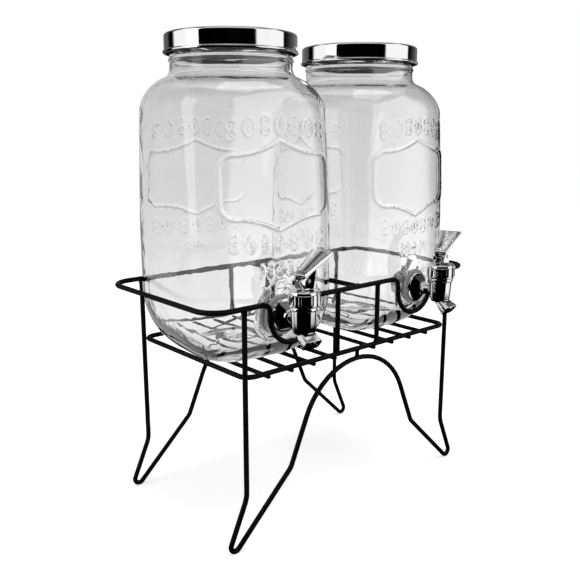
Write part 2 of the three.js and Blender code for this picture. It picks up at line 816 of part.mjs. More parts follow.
// A leg frame: one wire from the rim down to a foot, up over the arch, and the same again mirrored
function makeLegWire(y) {
  const topEnd = rimHeight - wireRadius - gap;
  const breakPoint = new THREE.Vector2(legOffset, legBreakHeight);
  const knee = new THREE.Vector2(kneeReach, kneeHeight);
  const otherKnee = new THREE.Vector2(-kneeReach, kneeHeight);
  const footCentre = new THREE.Vector2(footReach, footBend + wireRadius - footFlat);
  const foot = tangentCrossing(breakPoint, knee, footCentre, footBend);
  const archCentre = new THREE.Vector2(0, archHeight - archRadius);
  const arch = tangentCrossing(otherKnee, knee, archCentre, archRadius);
  const half = [
    [legOffset, topEnd, 0],
    [legOffset, legBreakHeight, legBreakRadius],
    [foot.x, foot.y, footBend],
    [kneeReach, kneeHeight, kneeRadius],
  ];
  const corners = [
    ...half.map(([x, z, radius]) => corner(x, y, z, radius)),
    corner(arch.x, y, arch.y, archRadius),
    ...half.slice().reverse().map(([x, z, radius]) => corner(-x, y, z, radius)),
  ];
  const floor = block(
    [-rimHalfLength, y - 2 * wireRadius, -footBend],
    [rimHalfLength, y + 2 * wireRadius, 0],
  );
  return geometryOf(solid(wire(corners, wireRadius)).subtract(solid(floor)));
}

// The stand: rim, tray, legs and the short wires welded between them
function makeStand() {
  const stand = new THREE.Group();
  const inside = rimHalfWidth - wireRadius - gap;
  const uprightFoot = trayHeight + wireRadius + gap;
  const uprightTop = rimHeight - wireRadius - gap;
  const add = (name, geometry) => stand.add(piece(name, geometry, blackCoat));
  add('top_rim', makeRim());
  add('tray_loop', makeTrayLoop());
  add('rim_divider', straight([0, -inside, rimHeight], [0, inside, rimHeight], wireRadius));
  for (let i = 0; i < 2 * crossWiresPerJar; i += 1) {
    const step = i < crossWiresPerJar ? i - crossWiresPerJar : i - crossWiresPerJar + 1;
    const tail = rimHalfWidth + crossWireTail;
    const x = step * crossWirePitch;
    const ends = [-tail, tail].map((y) => [x, y, crossWireHeight]);
    add(`tray_wire_${i + 1}`, straight(...ends, crossWireRadius));
  }
  for (const [end, y] of [['front', -rimHalfWidth], ['rear', rimHalfWidth]]) {
    add(`${end}_leg_wire`, makeLegWire(y));
    for (const [side, x] of [['left', -crossWirePitch], ['right', crossWirePitch]]) {
      add(`${end}_${side}_upright`, straight([x, y, uprightFoot], [x, y, uprightTop], wireRadius));
    }
    const stubFoot = archHeight + wireRadius + gap;
    const stubTop = trayHeight - wireRadius - gap;
    add(`${end}_arch_stub`, straight([0, y, stubFoot], [0, y, stubTop], stubRadius));
  }
  return stand;
}

// The whole object, set so that its origin lies under the middle of its bounding box
const object = new THREE.Group();
object.add(
  makeStand(),
  makeDispenser('left', -jarOffset, leftTurn),
  makeDispenser('right', jarOffset, rightTurn),
);
object.updateMatrixWorld(true);
const extent = new THREE.Box3().setFromObject(object, true);
object.position.y = -(extent.min.y + extent.max.y) / 2;

export default object;
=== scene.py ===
# Double beverage dispenser: the looks of two glass jars with screw lids and lever taps on a wire stand.
# Sizes are in millimetres and become metres when a piece is made. +Z is up and the taps face -Y.
from math import acos, atan2, cos, pi, radians, sin, sqrt, tan

import bmesh
import bpy
import numpy as np
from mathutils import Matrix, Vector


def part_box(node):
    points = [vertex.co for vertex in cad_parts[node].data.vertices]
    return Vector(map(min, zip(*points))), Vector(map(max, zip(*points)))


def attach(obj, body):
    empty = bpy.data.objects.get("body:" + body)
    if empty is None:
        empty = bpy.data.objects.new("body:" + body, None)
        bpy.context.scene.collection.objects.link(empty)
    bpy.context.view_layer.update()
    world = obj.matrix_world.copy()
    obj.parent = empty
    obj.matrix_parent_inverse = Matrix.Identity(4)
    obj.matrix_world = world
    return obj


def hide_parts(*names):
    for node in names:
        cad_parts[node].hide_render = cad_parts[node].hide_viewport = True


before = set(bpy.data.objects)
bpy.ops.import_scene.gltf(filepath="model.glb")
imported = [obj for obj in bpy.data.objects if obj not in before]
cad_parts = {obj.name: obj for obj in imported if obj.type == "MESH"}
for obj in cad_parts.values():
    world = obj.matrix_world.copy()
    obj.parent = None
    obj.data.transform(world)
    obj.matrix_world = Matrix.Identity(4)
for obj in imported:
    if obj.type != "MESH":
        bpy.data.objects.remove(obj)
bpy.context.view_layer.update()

MM = 0.001
GAP = 0.3

# Jar
JAR_HALF = 74
WALL = 3.5
FLOOR = 8
HEEL_REACH = 42
HEEL_HEIGHT = 60
PUNT_RISE = 3
PUNT_REACH = 18
DISH_RISE = 2.2
DISH_REACH = 26
BODY_POWER = 3.6
SHOULDER_POWER = 2.7
SHOULDER_RADIUS = 28
SHOULDER_HEIGHT = 215
SQUARE_TOP = 112
NECK_RADIUS = 52.5
NECK_FILLET = 8
NECK_LENGTH = 25
NECK_SWEEP = SHOULDER_RADIUS + NECK_FILLET
NECK_LEAN = acos((NECK_RADIUS - JAR_HALF + NECK_SWEEP) / NECK_SWEEP)
NECK_FOOT = SHOULDER_HEIGHT + NECK_SWEEP * sin(NECK_LEAN)
JAR_TOP = NECK_FOOT + NECK_LENGTH
NECK_BEAD_DROP = 5
NECK_BEAD_RISE = 1
NECK_BEAD_HALF = 2.2
THREAD_DROP = 10.5
THREAD_PITCH = 5
THREAD_RISE = 1.5
THREAD_HALF = 1.5
THREAD_TURNS = 1.5

# Label frame and rows of ornament: their middle height, arch, half length, pitch and half height
FRAME_MIDDLE = 153.5
FRAME_HALF = 52
FRAME_HEIGHT = 71
FRAME_CORNER = 12
FRAME_TIP_RISE = 10.5
FRAME_TIP_REACH = 40
RIB_HALF = 2.1
RIB_RISE = 1.2
PATTERN_FOOT = 84
UPPER_GARLAND = (201.5, 4.5, 42, 14, 7.6)
LOWER_GARLAND = (107.5, -2, 42, 14, 7)
FOOT_GARLAND = (86.5, 0, 14, 9.4, 4.8)
GARLAND_SHARE = 0.75
LEAF_SHARE = 0.33

# Tap pad
TAP_HEIGHT = 48.25
PAD_RADIUS = 18
PAD_BLEND = 2.2
RING_RADIUS = 22.8
RING_SWELL = 0.9
RING_HALF = 1.8
PAD_FACE = 74.5
INNER_PAD_FACE = 64.9
HOLE_RADIUS = 8.3

# Lid
LINER = 1.5
LID_RADIUS = 56.5
LID_WALL = 1.2
LID_TOP = JAR_TOP + LINER + 2 * GAP + LID_WALL
LID_FOOT = LID_TOP - 16.5
LID_BEAD = 1.4

# Tap
TAP_REACH = 107
SHANK_RADIUS = 7.9
SHANK_BORE = 4.8
SHANK_PITCH = 1.8
SHANK_END = 53.1
NUT_FACE = 61.5
NUT_RADIUS = 13
NUT_THICKNESS = 6
FRONT_WASHER = 17
FLANGE_FACE = 78.1
FLANGE_RADIUS = 14.2
FLANGE_THICKNESS = 2.2
DOME_HEIGHT = 6.7
DOME_TOP = 7
TAP_NECK = 5.5
COLLAR_RADIUS = 13
COLLAR_FOOT = 13.8
COLLAR_TOP = 26.5
COLLAR_BORE = 9.5
FLUTES = 16
FLUTE_COLUMNS = 14
FLUTE_DEPTH = 0.8
STEM_RADIUS = 2.5
STEM_FOOT = -1.6
PIN_HEIGHT = 33.8
PIN_RADIUS = 1.3
RING_RISE = 11
BONNET_RISE = 19.3
SEAT_DROP = 5.2
SEAT_BORE = 4.5
CHAMBER_BORE = 7
BONNET_RADIUS = 9.2
BARREL_FOOT = -9.6
THROAT_DROP = 6.6
THROAT_SHARE = 0.8
MOUTH_REACH = 11.2
MOUTH_DROP = 16.6
MOUTH_LEAN = radians(50)
MOUTH_HALF_WIDTH = 8.4
MOUTH_HALF_DEPTH = 5.6

# Lever
HEADING = radians(15)
LEVER_WIDTH = 10.5
LEVER_TIP_WIDTH = 21
LEVER_LENGTH = 34
LEVER_DEPTH = 3.5
LEVER_TILT = radians(28)
LEVER_TAIL = 7
LEVER_TAIL_RISE = 5.5
LEVER_EDGE = 0.8
LEVER_BORDER = 1.8
LEVER_RECESS = 1.6
LEVER_STEP = 0.8
CAM_DROP = 7
CAM_FLAT = 7
CAM_LIFT = 3
CAM_TURN = radians(85)
CHEEK_REACH = 11
EYE_RADIUS = 3.4

# Stand
WIRE = 2.25
CROSS_WIRE = 2
STUB = 1.9
STAND_MIDDLE = sum(corner.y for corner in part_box("rim_divider")) / 2 / MM
RIM_HALF_LENGTH = 162
RIM_HALF_WIDTH = 80
RIM_HEIGHT = 208
RIM_CORNER = 20
DIP_RADIUS = 24
DIP_DEPTH = 36
DIP_CORNER = 8
JAR_OFFSET = 78.5
JAR_BASE = 147.75
TRAY_HEIGHT = 150
TRAY_HALF_LENGTH = 128.3
TRAY_CORNER = 10
CROSS_HEIGHT = 145.45
CROSS_PITCH = 25.66
CROSS_TAIL = -1.4
LEG_OFFSET = TRAY_HALF_LENGTH - TRAY_CORNER + sqrt((TRAY_CORNER + 2 * WIRE + GAP) ** 2 - TRAY_CORNER ** 2)
LEG_BREAK = 46
LEG_BREAK_RADIUS = 25
FOOT_REACH = 141.5
FOOT_BEND = 4.7
FOOT_FLAT = 0.3
KNEE_REACH = 80.5
KNEE_HEIGHT = 58
KNEE_RADIUS = 15
ARCH_RADIUS = 68
ARCH_HEIGHT = 141
LEG_TOP = RIM_HEIGHT - 1.4

# How far painted shade reaches into bright metal from an inner corner
CORNER_SHADE_REACH = 2.6

TURNS = {"left": radians(-6), "right": radians(3)}
OFFSETS = {"left": -JAR_OFFSET, "right": JAR_OFFSET}


# Shapes

def facets(rows, columns, ring=False):
    """Quads (i, j), (i, j+1), (i+1, j+1), (i+1, j) of a grid numbered row by row. Its columns go all round,
    and its rows in a ring."""
    i = np.arange(rows if ring else rows - 1)[:, None]
    j = np.arange(columns)[None, :]
    here, above, beside = i * columns, (i + 1) % rows * columns, (j + 1) % columns
    return np.stack([here + j, here + beside, above + beside, above + j], -1).reshape(-1, 4)


def surface(grid, ring=False):
    """A closed shell from a grid whose end rows are points, or from a ring of rows. Its faces look
    outwards: the volume, a sixth of the sum of a . (b x c), is above 0."""
    points, faces = grid.reshape(-1, 3), facets(*grid.shape[:2], ring)
    a, b, c, d = points[faces].transpose(1, 0, 2)
    volume = (a * np.cross(b, c)).sum() + (a * np.cross(c, d)).sum()
    return points, faces if volume > 0 else faces[:, ::-1]


def joined(*shells):
    """Several shells as one, the faces of each numbered on from the points before it."""
    points, faces = zip(*shells)
    starts = np.cumsum([0] + [len(each) for each in points[:-1]])
    return np.concatenate(points), np.concatenate([each + start for each, start in zip(faces, starts)])


def unit(vectors):
    """Each vector brought to a length of 1."""
    return vectors / np.maximum(np.linalg.norm(vectors, axis=1, keepdims=True), 1e-9)


def around(sides):
    """Even angles all the way round."""
    return np.arange(sides) * 2 * pi / sides


def ease(value):
    """0 below 0, 1 above 1, and v v (3 - 2v) between."""
    value = np.clip(value, 0, 1)
    return value * value * (3 - 2 * value)


def ridge(distance, half):
    """A rounded ridge: 1 on its line, and 0 from half a width off."""
    return 1 - ease(np.abs(distance) / half)


def rings(radius, height):
    """Rows of points (r cos a, r sin a, h) round the vertical."""
    angle = around(radius.shape[1])
    return np.stack([radius * np.cos(angle), radius * np.sin(angle), height + 0 * radius], -1)


def turned(profile, sides):
    """Radii and heights carried round the vertical, in a ring where they start off the axis."""
    profile = np.asarray(profile, float)
    return surface(rings(np.repeat(profile[:, :1], sides, 1), profile[:, 1:2]), profile[0, 0] > 0)


def softened(corners, loop=True, steps=4):
    """An outline of [x, y, cut]. Each corner P becomes (1-s)^2 A + 2s(1-s) P + s^2 B, where A and B lie the
    cut before and after it."""
    corners = np.asarray(corners, float)
    at, cut = corners[:, :2], corners[:, 2:].copy()
    if not loop:
        cut[[0, -1]] = 0
    start, end = ((at + cut * unit(np.roll(at, shift, 0) - at))[:, None] for shift in (1, -1))
    s = np.linspace(0, 1, steps + 1)[None, :, None]
    points = ((1 - s) ** 2 * start + 2 * s * (1 - s) * at[:, None] + s ** 2 * end).reshape(-1, 2)
    keep = np.linalg.norm(points - np.roll(points, 1, 0), axis=1) > 1e-6
    keep[0] = True
    return points[keep]


def turned_soft(corners, sides):
    """Corners of [radius, height, cut] softened and turned, as a loop where they start off the axis."""
    return turned(softened(corners, loop=corners[0][0] > 0), sides)


def bent(corners, radii, loop=False, steps=10):
    """A line with its corners bent to radii r. An arc's centre lies r / cos(t/2) along the bisector, t
    being the turn, and its points r (sin((1-k)t) A + sin(kt) B) / sin t from that."""
    corners, radii = np.asarray(corners, float), np.asarray(radii, float)[:, None]
    back, on = (unit(np.roll(corners, shift, 0) - corners) for shift in (1, -1))
    turn = pi - np.arccos(np.clip((back * on).sum(1, keepdims=True), -1, 1))
    centre = corners + unit(back + on) * radii / np.cos(turn / 2)
    reach = radii * np.tan(turn / 2)
    start, end = ((corners + way * reach - centre)[:, None] for way in (back, on))
    k = np.linspace(0, 1, steps + 1)[None, :, None]
    turn = np.maximum(turn, 1e-6)[:, None]
    arcs = centre[:, None] + (np.sin((1 - k) * turn) * start + np.sin(k * turn) * end) / np.sin(turn)
    if not loop:
        return np.concatenate([corners[:1], arcs[1:-1].reshape(-1, 3), corners[-1:]])
    return arcs.reshape(-1, 3)


def wire(path, side, radius, loop=False, sides=24):
    """A wire: a ring P + r (cos a S + sin a U) round each point P of a path, S being the side vector and U
    square to it and to the path. An open wire has flat ends."""
    path = np.asarray(path, float)
    ahead = unit(np.roll(path, -1, 0) - np.roll(path, 1, 0) if loop else np.gradient(path, axis=0))
    other = unit(np.cross(ahead, np.broadcast_to(side, path.shape)))
    side = np.cross(other, ahead)
    angle = around(sides)[None, :, None]
    radius = np.broadcast_to(radius, len(path))[:, None, None]
    grid = path[:, None] + radius * (np.cos(angle) * side[:, None] + np.sin(angle) * other[:, None])
    if not loop:
        ends = np.repeat(path[[0, -1]][:, None], sides, 1)
        grid = np.concatenate([ends[:1], grid, ends[1:]])
    return surface(grid, loop)


def rod(start, end, radius, weld=0.0, dome=0.0):
    """A straight wire, its stations closer near the ends. There its radius grows by a weld's flare,
    exp(-(d/1.2)^2) at a distance d, or falls as a dome's quarter circle."""
    start, end = np.asarray(start, float), np.asarray(end, float)
    length = np.linalg.norm(end - start)
    share = 0.5 - 0.5 * np.cos(np.linspace(0, pi, 41))
    path = start + share[:, None] * (end - start)
    near = np.minimum(share, 1 - share) * length
    radii = radius + weld * np.exp(-(near / 1.2) ** 2)
    if dome:
        radii = radius * np.sqrt(1 - np.clip(1 - near / dome, 0, 0.97) ** 2)
    side = (0, 1, 0) if abs(end[2] - start[2]) > length / 2 else (0, 0, 1)
    return wire(path, side, radii)


# Where shapes go

def moved(shape, angle, place):
    """A shape turned about the vertical by an angle and moved to a place."""
    points, faces = shape
    c, s = cos(angle), sin(angle)
    x, y, z = points.T
    return np.stack([c * x - s * y, s * x + c * y, z], -1) + place, faces


def outwards(shape):
    """An upright shape laid along the tap's shank: (x, y, z) goes to (x, -z, y) at the tap's height."""
    points, faces = shape
    return np.stack([points[:, 0], -points[:, 2], points[:, 1] + TAP_HEIGHT], -1), faces


def crosswise(shape):
    """An upright shape laid across the lever: (x, y, z) goes to (x, z, -y)."""
    points, faces = shape
    return np.stack([points[:, 0], points[:, 2], -points[:, 1]], -1), faces


def on_valve(shape):
    """An upright shape moved to the valve's axis, at the height of the tap's shank."""
    return moved(shape, 0, (0, -TAP_REACH, TAP_HEIGHT))


def on_pin(shape):
    """A shape drawn about the lever's pin turned to the lever's heading, on the valve."""
    return on_valve(moved(shape, HEADING, (0, 0, PIN_HEIGHT)))


def in_stand(shape, side):
    """A jar's shape turned by the jar's turn, at its place on the tray."""
    return moved(shape, TURNS[side], (OFFSETS[side], STAND_MIDDLE, JAR_BASE))


def placed(name, data):
    """A new object in the scene that holds this data."""
    thing = bpy.data.objects.new(name, data)
    bpy.context.scene.collection.objects.link(thing)
    return thing


def mesh_of(name, shape):
    """A shape's mesh in metres, its doubled points merged."""
    points, faces = shape
    mesh = bpy.data.meshes.new(name)
    mesh.from_pydata((points * MM).tolist(), [], faces.tolist())
    work = bmesh.new()
    work.from_mesh(mesh)
    bmesh.ops.remove_doubles(work, verts=work.verts, dist=1e-6)
    bmesh.ops.dissolve_degenerate(work, dist=1e-7, edges=work.edges)
    work.to_mesh(mesh)
    work.free()
    return mesh


def make(name, shape, material, body, node, sharp=35):
    """A piece that replaces a node of the CAD, smooth but for edges sharper than an angle."""
    mesh = mesh_of(name, shape)
    mesh.shade_smooth()
    mesh.set_sharp_from_angle(angle=radians(sharp))
    mesh.materials.append(material)
    piece = placed(name, mesh)
    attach(piece, body)
    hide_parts(node)
    return piece


def cut_away(piece, shape):
    """Takes a shape out of a piece with an applied Boolean modifier."""
    cutter = placed("cutter", mesh_of("cutter", shape))
    cut = piece.modifiers.new("cut", "BOOLEAN")
    cut.operation, cut.solver, cut.object = "DIFFERENCE", "MANIFOLD", cutter
    cut_mesh = bpy.data.meshes.new_from_object(piece.evaluated_get(bpy.context.evaluated_depsgraph_get()))
    piece.modifiers.remove(cut)
    bpy.data.objects.remove(cutter)
    whole, name = piece.data, piece.data.name
    piece.data = cut_mesh
    bpy.data.meshes.remove(whole)
    cut_mesh.name = name


# Jar

def squareness(height):
    """The exponent of the jar's section: the body's, then straight on to the shoulder's and to a circle's 2
    at the neck."""
    heights = [SQUARE_TOP, SHOULDER_HEIGHT, SHOULDER_HEIGHT + SHOULDER_RADIUS]
    return np.interp(height, heights, [BODY_POWER, SHOULDER_POWER, 2])


def arc(centre, reach, rise, start, end, steps):
    """Points of an arc as half width and height: centre + (reach cos t, rise sin t)."""
    t = np.linspace(start, end, steps)
    return np.stack([centre[0] + reach * np.cos(t), centre[1] + rise * np.sin(t)], -1)


def jar_side(inset, floor, heel, side, shoulder):
    """The jar's side set in by the wall: an elliptical heel, an upright, a round shoulder and a fillet."""
    fillet = NECK_FILLET + inset
    neck = NECK_RADIUS - inset
    heel_middle = (JAR_HALF - HEEL_REACH, HEEL_HEIGHT)
    return np.concatenate([
        arc(heel_middle, HEEL_REACH - inset, HEEL_HEIGHT - floor, -pi / 2, 0, heel),
        np.stack([np.full(len(side), JAR_HALF - inset), side], -1),
        arc((JAR_HALF - SHOULDER_RADIUS, SHOULDER_HEIGHT), SHOULDER_RADIUS - inset, SHOULDER_RADIUS - inset,
            0, NECK_LEAN, shoulder),
        arc((neck + fillet, NECK_FOOT), fillet, fillet, pi + NECK_LEAN, pi, shoulder // 2)[1:],
    ])


def jar_profile():
    """The jar's half width and height from the middle of its underside, up outside, over the mouth and down
    inside, and how many rows lie outside."""
    flat = JAR_HALF - HEEL_REACH
    base = np.linspace(0, flat, 14)[:-1]
    underside = np.stack([base, PUNT_RISE * (1 - ease((base - PUNT_REACH) / (flat - PUNT_REACH)))], -1)
    side = np.concatenate([np.arange(HEEL_HEIGHT + 2, PATTERN_FOOT, 2.0),
                           np.arange(PATTERN_FOOT, SHOULDER_HEIGHT - 4, 1.0),
                           [SHOULDER_HEIGHT - 3, SHOULDER_HEIGHT - 1]])
    outside = jar_side(0, 0, 44, side, 18)
    neck = np.arange(NECK_FOOT + 0.7, JAR_TOP - WALL / 2 - 0.05, 0.7)
    rise = NECK_BEAD_RISE * ridge(neck - LID_FOOT + NECK_BEAD_DROP, NECK_BEAD_HALF)
    lip = arc((NECK_RADIUS - WALL / 2, JAR_TOP - WALL / 2), WALL / 2, WALL / 2, 0, pi, 13)
    inside = jar_side(WALL, FLOOR, 20, np.linspace(HEEL_HEIGHT + 6, SHOULDER_HEIGHT - 2, 22), 10)[::-1]
    floor = np.linspace(flat, 0, 10)[1:]
    dish = np.stack([floor, FLOOR + DISH_RISE * (1 - ease(floor / DISH_REACH))], -1)
    outer = np.concatenate([underside, outside, np.stack([NECK_RADIUS + rise, neck], -1), lip[:7]])
    inner = np.concatenate([lip[7:], inside, dish])
    return np.concatenate([outer, inner]), len(outer)


def frame_distance(across, height):
    """How far a place lies from the label frame's line: upright sides, round corners, and an ogee up to a
    tip, 1 - sin(pi/2 share) of its rise."""
    x, z = np.abs(across), np.abs(height - FRAME_MIDDLE)
    top = FRAME_HEIGHT / 2 - FRAME_TIP_RISE
    share = np.clip(x / FRAME_TIP_REACH, 0, 1)
    slope = FRAME_TIP_RISE * pi / 2 / FRAME_TIP_REACH * np.cos(share * pi / 2)
    over = (z - top - FRAME_TIP_RISE * (1 - np.sin(share * pi / 2))) / np.sqrt(1 + slope ** 2)
    round_x, round_z = FRAME_HALF - FRAME_CORNER, top - FRAME_CORNER
    corner = np.hypot(x - round_x, z - round_z) - FRAME_CORNER
    return np.where(x <= round_x, over, np.where(z <= round_z, x - FRAME_HALF, corner))


def garland(across, height, middle, arch, half_length, pitch, half_height):
    """A row of raised leaves and pairs of ringed pearls in turn. A leaf's half width is a (1 - (v/h)^2) at
    a height v over the row's arch."""
    v = height - middle + arch * (across / half_length) ** 2
    cell = np.round(across / pitch)
    u = across - cell * pitch
    widest = pitch * LEAF_SHARE
    leaf_half = widest * (1 - (v / half_height) ** 2)
    slant = np.sqrt(1 + (2 * widest * v / half_height ** 2) ** 2)
    leaf = ridge((np.abs(u) - leaf_half) / slant, 1.15) * (np.abs(v) < half_height + 0.6)
    midrib = ridge(u, 0.95) * ease((half_height * 0.62 - np.abs(v)) / 1.5)
    reach = np.hypot(u, np.abs(v) - half_height * 0.5)
    ring, pearl = ridge(reach - half_height * 0.46, 1.15), ridge(reach, 1.6)
    motif = np.where(cell % 2 == 0, np.maximum(leaf, midrib), np.maximum(ring, pearl))
    return motif * (np.abs(across) < half_length + pitch / 2)


def jar_relief(across, height):
    """How far the label frame and the garlands stand out on the jar's front and back."""
    frame_line = RIB_RISE * ridge(frame_distance(across, height), RIB_HALF)
    garlands = [garland(across, height, *row) for row in (UPPER_GARLAND, LOWER_GARLAND, FOOT_GARLAND)]
    return np.maximum(frame_line, GARLAND_SHARE * np.max(garlands, axis=0))


def jar_columns():
    """The directions of the jar's columns: steps of about 1 mm across front and back, even angles round the
    sides."""
    across = np.linspace(-59.5, 59.5, 125)
    depth = JAR_HALF * (1 - np.abs(across / JAR_HALF) ** BODY_POWER) ** (1 / BODY_POWER)
    front = np.arctan2(-depth, across)
    right = np.linspace(front[-1], -front[-1], 22)[1:-1]
    back = -front[::-1]
    left = np.linspace(back[-1], 2 * pi + front[0], 22)[1:-1]
    return np.concatenate([front, right, back, left])


def jar_glass():
    """The jar as one skin of sections |x/h|^p + |y/h|^p = 1. Relief is added along a section's normal, the
    thread being a helix round the neck, and the glass is drawn flat at the tap, inside a moulded ring."""
    profile, outer_rows = jar_profile()
    half, height = profile[:, :1], profile[:, 1:]
    power = squareness(height)
    angle = jar_columns()[None, :]
    c, s = np.cos(angle), np.sin(angle)
    reach = half * (np.abs(c) ** power + np.abs(s) ** power) ** (-1 / power)
    x, y, z = reach * c, reach * s, height + 0 * angle
    flat = np.maximum(half, 1e-6)
    nx, ny = np.sign(c) * np.abs(x / flat) ** (power - 1), np.sign(s) * np.abs(y / flat) ** (power - 1)
    length = np.maximum(np.hypot(nx, ny), 1e-9)
    outside = (np.arange(len(profile)) < outer_rows)[:, None]
    pattern = jar_relief(np.where(y < 0, x, -x), z) * (z > HEEL_HEIGHT) * (z < SHOULDER_HEIGHT)
    turn = (np.arctan2(y, x) / (2 * pi)) % 1
    start = JAR_TOP - THREAD_DROP
    climb = (z - start) / THREAD_PITCH - turn
    lap = np.round(climb)
    thread = THREAD_RISE * ridge((climb - lap) * THREAD_PITCH, THREAD_HALF) * (lap >= 0) * (lap <= 1)
    ends = ease((lap + turn) / 0.06) * ease((THREAD_TURNS - lap - turn) / 0.06)
    relief = outside * (pattern + thread * ends * (z > start - THREAD_PITCH) * (z < JAR_TOP - 1))
    x, y = x + relief * nx / length, y + relief * ny / length
    from_tap = np.hypot(x, z - TAP_HEIGHT)
    near = ease((PAD_RADIUS + 1.6 - from_tap) / PAD_BLEND) * (y < 0)
    face = np.where(outside, PAD_FACE, INNER_PAD_FACE)
    y = y + near * (-face - y) * (z < TAP_HEIGHT + PAD_RADIUS + 2) * (z > 12)
    y = y - RING_SWELL * ridge(from_tap - RING_RADIUS, RING_HALF) * outside * (y < 0)
    return surface(np.stack([x, y, z], -1))


# Lid

def lid_metal():
    """The lid: a thin cup with a rolled foot and a shallow panel in its top."""
    foot, top, outer, bore, roll = LID_FOOT, LID_TOP, LID_RADIUS, LID_RADIUS - LID_WALL, LID_RADIUS + LID_BEAD
    return turned_soft([
        (0, top - LID_WALL, 0), (bore, top - LID_WALL, 0.8), (bore, foot + 0.3, 0.3), (bore + 0.6, foot, 0.3),
        (roll - 0.7, foot, 1.2), (roll, foot + 1.6, 0.9), (roll - 0.5, foot + 2.5, 0.6),
        (outer, foot + 2.8, 0.3), (outer, top - 1.6, 0.6), (outer - 1.6, top, 1.2), (outer - 6.8, top, 0.5),
        (outer - 7.8, top - 0.7, 0.5), (outer - 20, top - 0.55, 3), (0, top - 0.4, 0),
    ], 160)


def lid_liner():
    """The foam disc in the lid, its edges softened."""
    foot, rim = JAR_TOP + GAP, LID_RADIUS - LID_WALL - 0.7
    return turned_soft([(0, foot, 0), (rim, foot, 0.4), (rim, foot + LINER, 0.4), (0, foot + LINER, 0)], 128)


# Tap

def washer(outer, bore, near, far, soft=0.8):
    """A flat ring between two heights, with softened corners."""
    edge = soft / 2
    return turned_soft([(bore, near, edge), (outer, near, soft), (outer, far, soft), (bore, far, edge)], 96)


def six_sided(angle, radius):
    """The reach of a hexagon of a corner radius R in a direction a: R cos 30 / cos(a mod 60 - 30)."""
    sixth = pi / 3
    return radius * cos(sixth / 2) / np.cos((angle + sixth / 2) % sixth - sixth / 2)


def lock_nut():
    """A hexagonal nut: each row's reach is the smaller of the hexagon's and a cone's that chamfers both
    faces."""
    angle = around(144)
    deep = np.array([0, 0, 0.4, 1.2, 2.2, 3.0, 3.8, 4.8, 5.6, NUT_THICKNESS, NUT_THICKNESS])[:, None]
    cone = NUT_RADIUS * 0.9 + 2.2 * np.minimum(deep, NUT_THICKNESS - deep)
    reach = np.minimum(six_sided(angle, NUT_RADIUS)[None], cone)
    reach[[0, -1]] = SHANK_RADIUS + 0.3
    return surface(rings(reach, NUT_FACE - NUT_THICKNESS + deep), ring=True)


def threaded_shank():
    """The hollow shank with its helical thread: its radius is r - d |2 (h/p - a/2pi mod 1) - 1|."""
    fine = np.arange(SHANK_END, FLANGE_FACE - 4, 0.28)
    height = np.concatenate([[SHANK_END], fine, [FLANGE_FACE + 1]])[:, None]
    turn = np.arange(72)[None, :] / 72
    saw = np.abs(2 * ((height / SHANK_PITCH - turn) % 1) - 1)
    start = ease((height - SHANK_END) / 1.2)
    fade = start * ease((FLANGE_FACE - 5 - height) / 2)
    outer = SHANK_RADIUS - 0.7 * saw * fade - 0.9 * (1 - start)
    radius = np.concatenate([outer, np.full_like(outer, SHANK_BORE)])
    return surface(rings(radius, np.concatenate([height, height[::-1]])), ring=True)


def flange_and_dome():
    """A round flange and a dome: the reach goes from a circle's to a hexagon's at the dome's foot, and back
    to a circle's at the tap's neck."""
    angle = around(144)
    face, rim, end = FLANGE_FACE, FLANGE_RADIUS, TAP_REACH - 8.6
    foot = face + FLANGE_THICKNESS
    top = foot + DOME_HEIGHT
    rows = np.array([
        # reach, height, how hexagonal, which is a share
        (0, face, 0), (rim - 0.5, face, 0), (rim, face + 0.5, 0), (rim, foot - 0.5, 0),
        (rim - 0.4, foot - 0.08, 0), (rim - 0.7, foot, 0), (rim - 0.9, foot + 0.05, 1),
        (rim - 1.3, foot + 0.6, 1), (rim - 4.6, foot + 3.6, 1), (DOME_TOP + 0.6, top - 0.7, 1),
        (DOME_TOP, top - 0.1, 0.9), (DOME_TOP - 0.7, top, 0.6),
        (TAP_NECK + 0.5, top + 0.2, 0), (TAP_NECK, top + 1.2, 0), (TAP_NECK, end, 0), (0, end, 0),
    ])
    reach, height, six = rows[:, :1], rows[:, 1:2], rows[:, 2:]
    return surface(rings(reach + six * (six_sided(angle + pi / 2, reach) - reach), height))


def valve_barrel():
    """The valve's barrel, tapered to its foot, with a band under the collar and an open chamber and
    seat."""
    band = RING_RISE
    return turned_soft([
        (SEAT_BORE, BARREL_FOOT, 0.3), (7.8, BARREL_FOOT, 1.4), (9.3, BARREL_FOOT + 2, 1.5), (10.3, -3, 4),
        (11.1, band - 1.2, 0.4), (11, band - 0.4, 0.3), (12.2, band, 0.4), (12.2, band + 2.5, 0.5),
        (BONNET_RADIUS, band + 2.5, 0.3), (BONNET_RADIUS, BONNET_RISE, 0.5), (CHAMBER_BORE, BONNET_RISE, 0.3),
        (CHAMBER_BORE, -SEAT_DROP, 0.4), (SEAT_BORE, -SEAT_DROP, 0.3),
    ], 120)


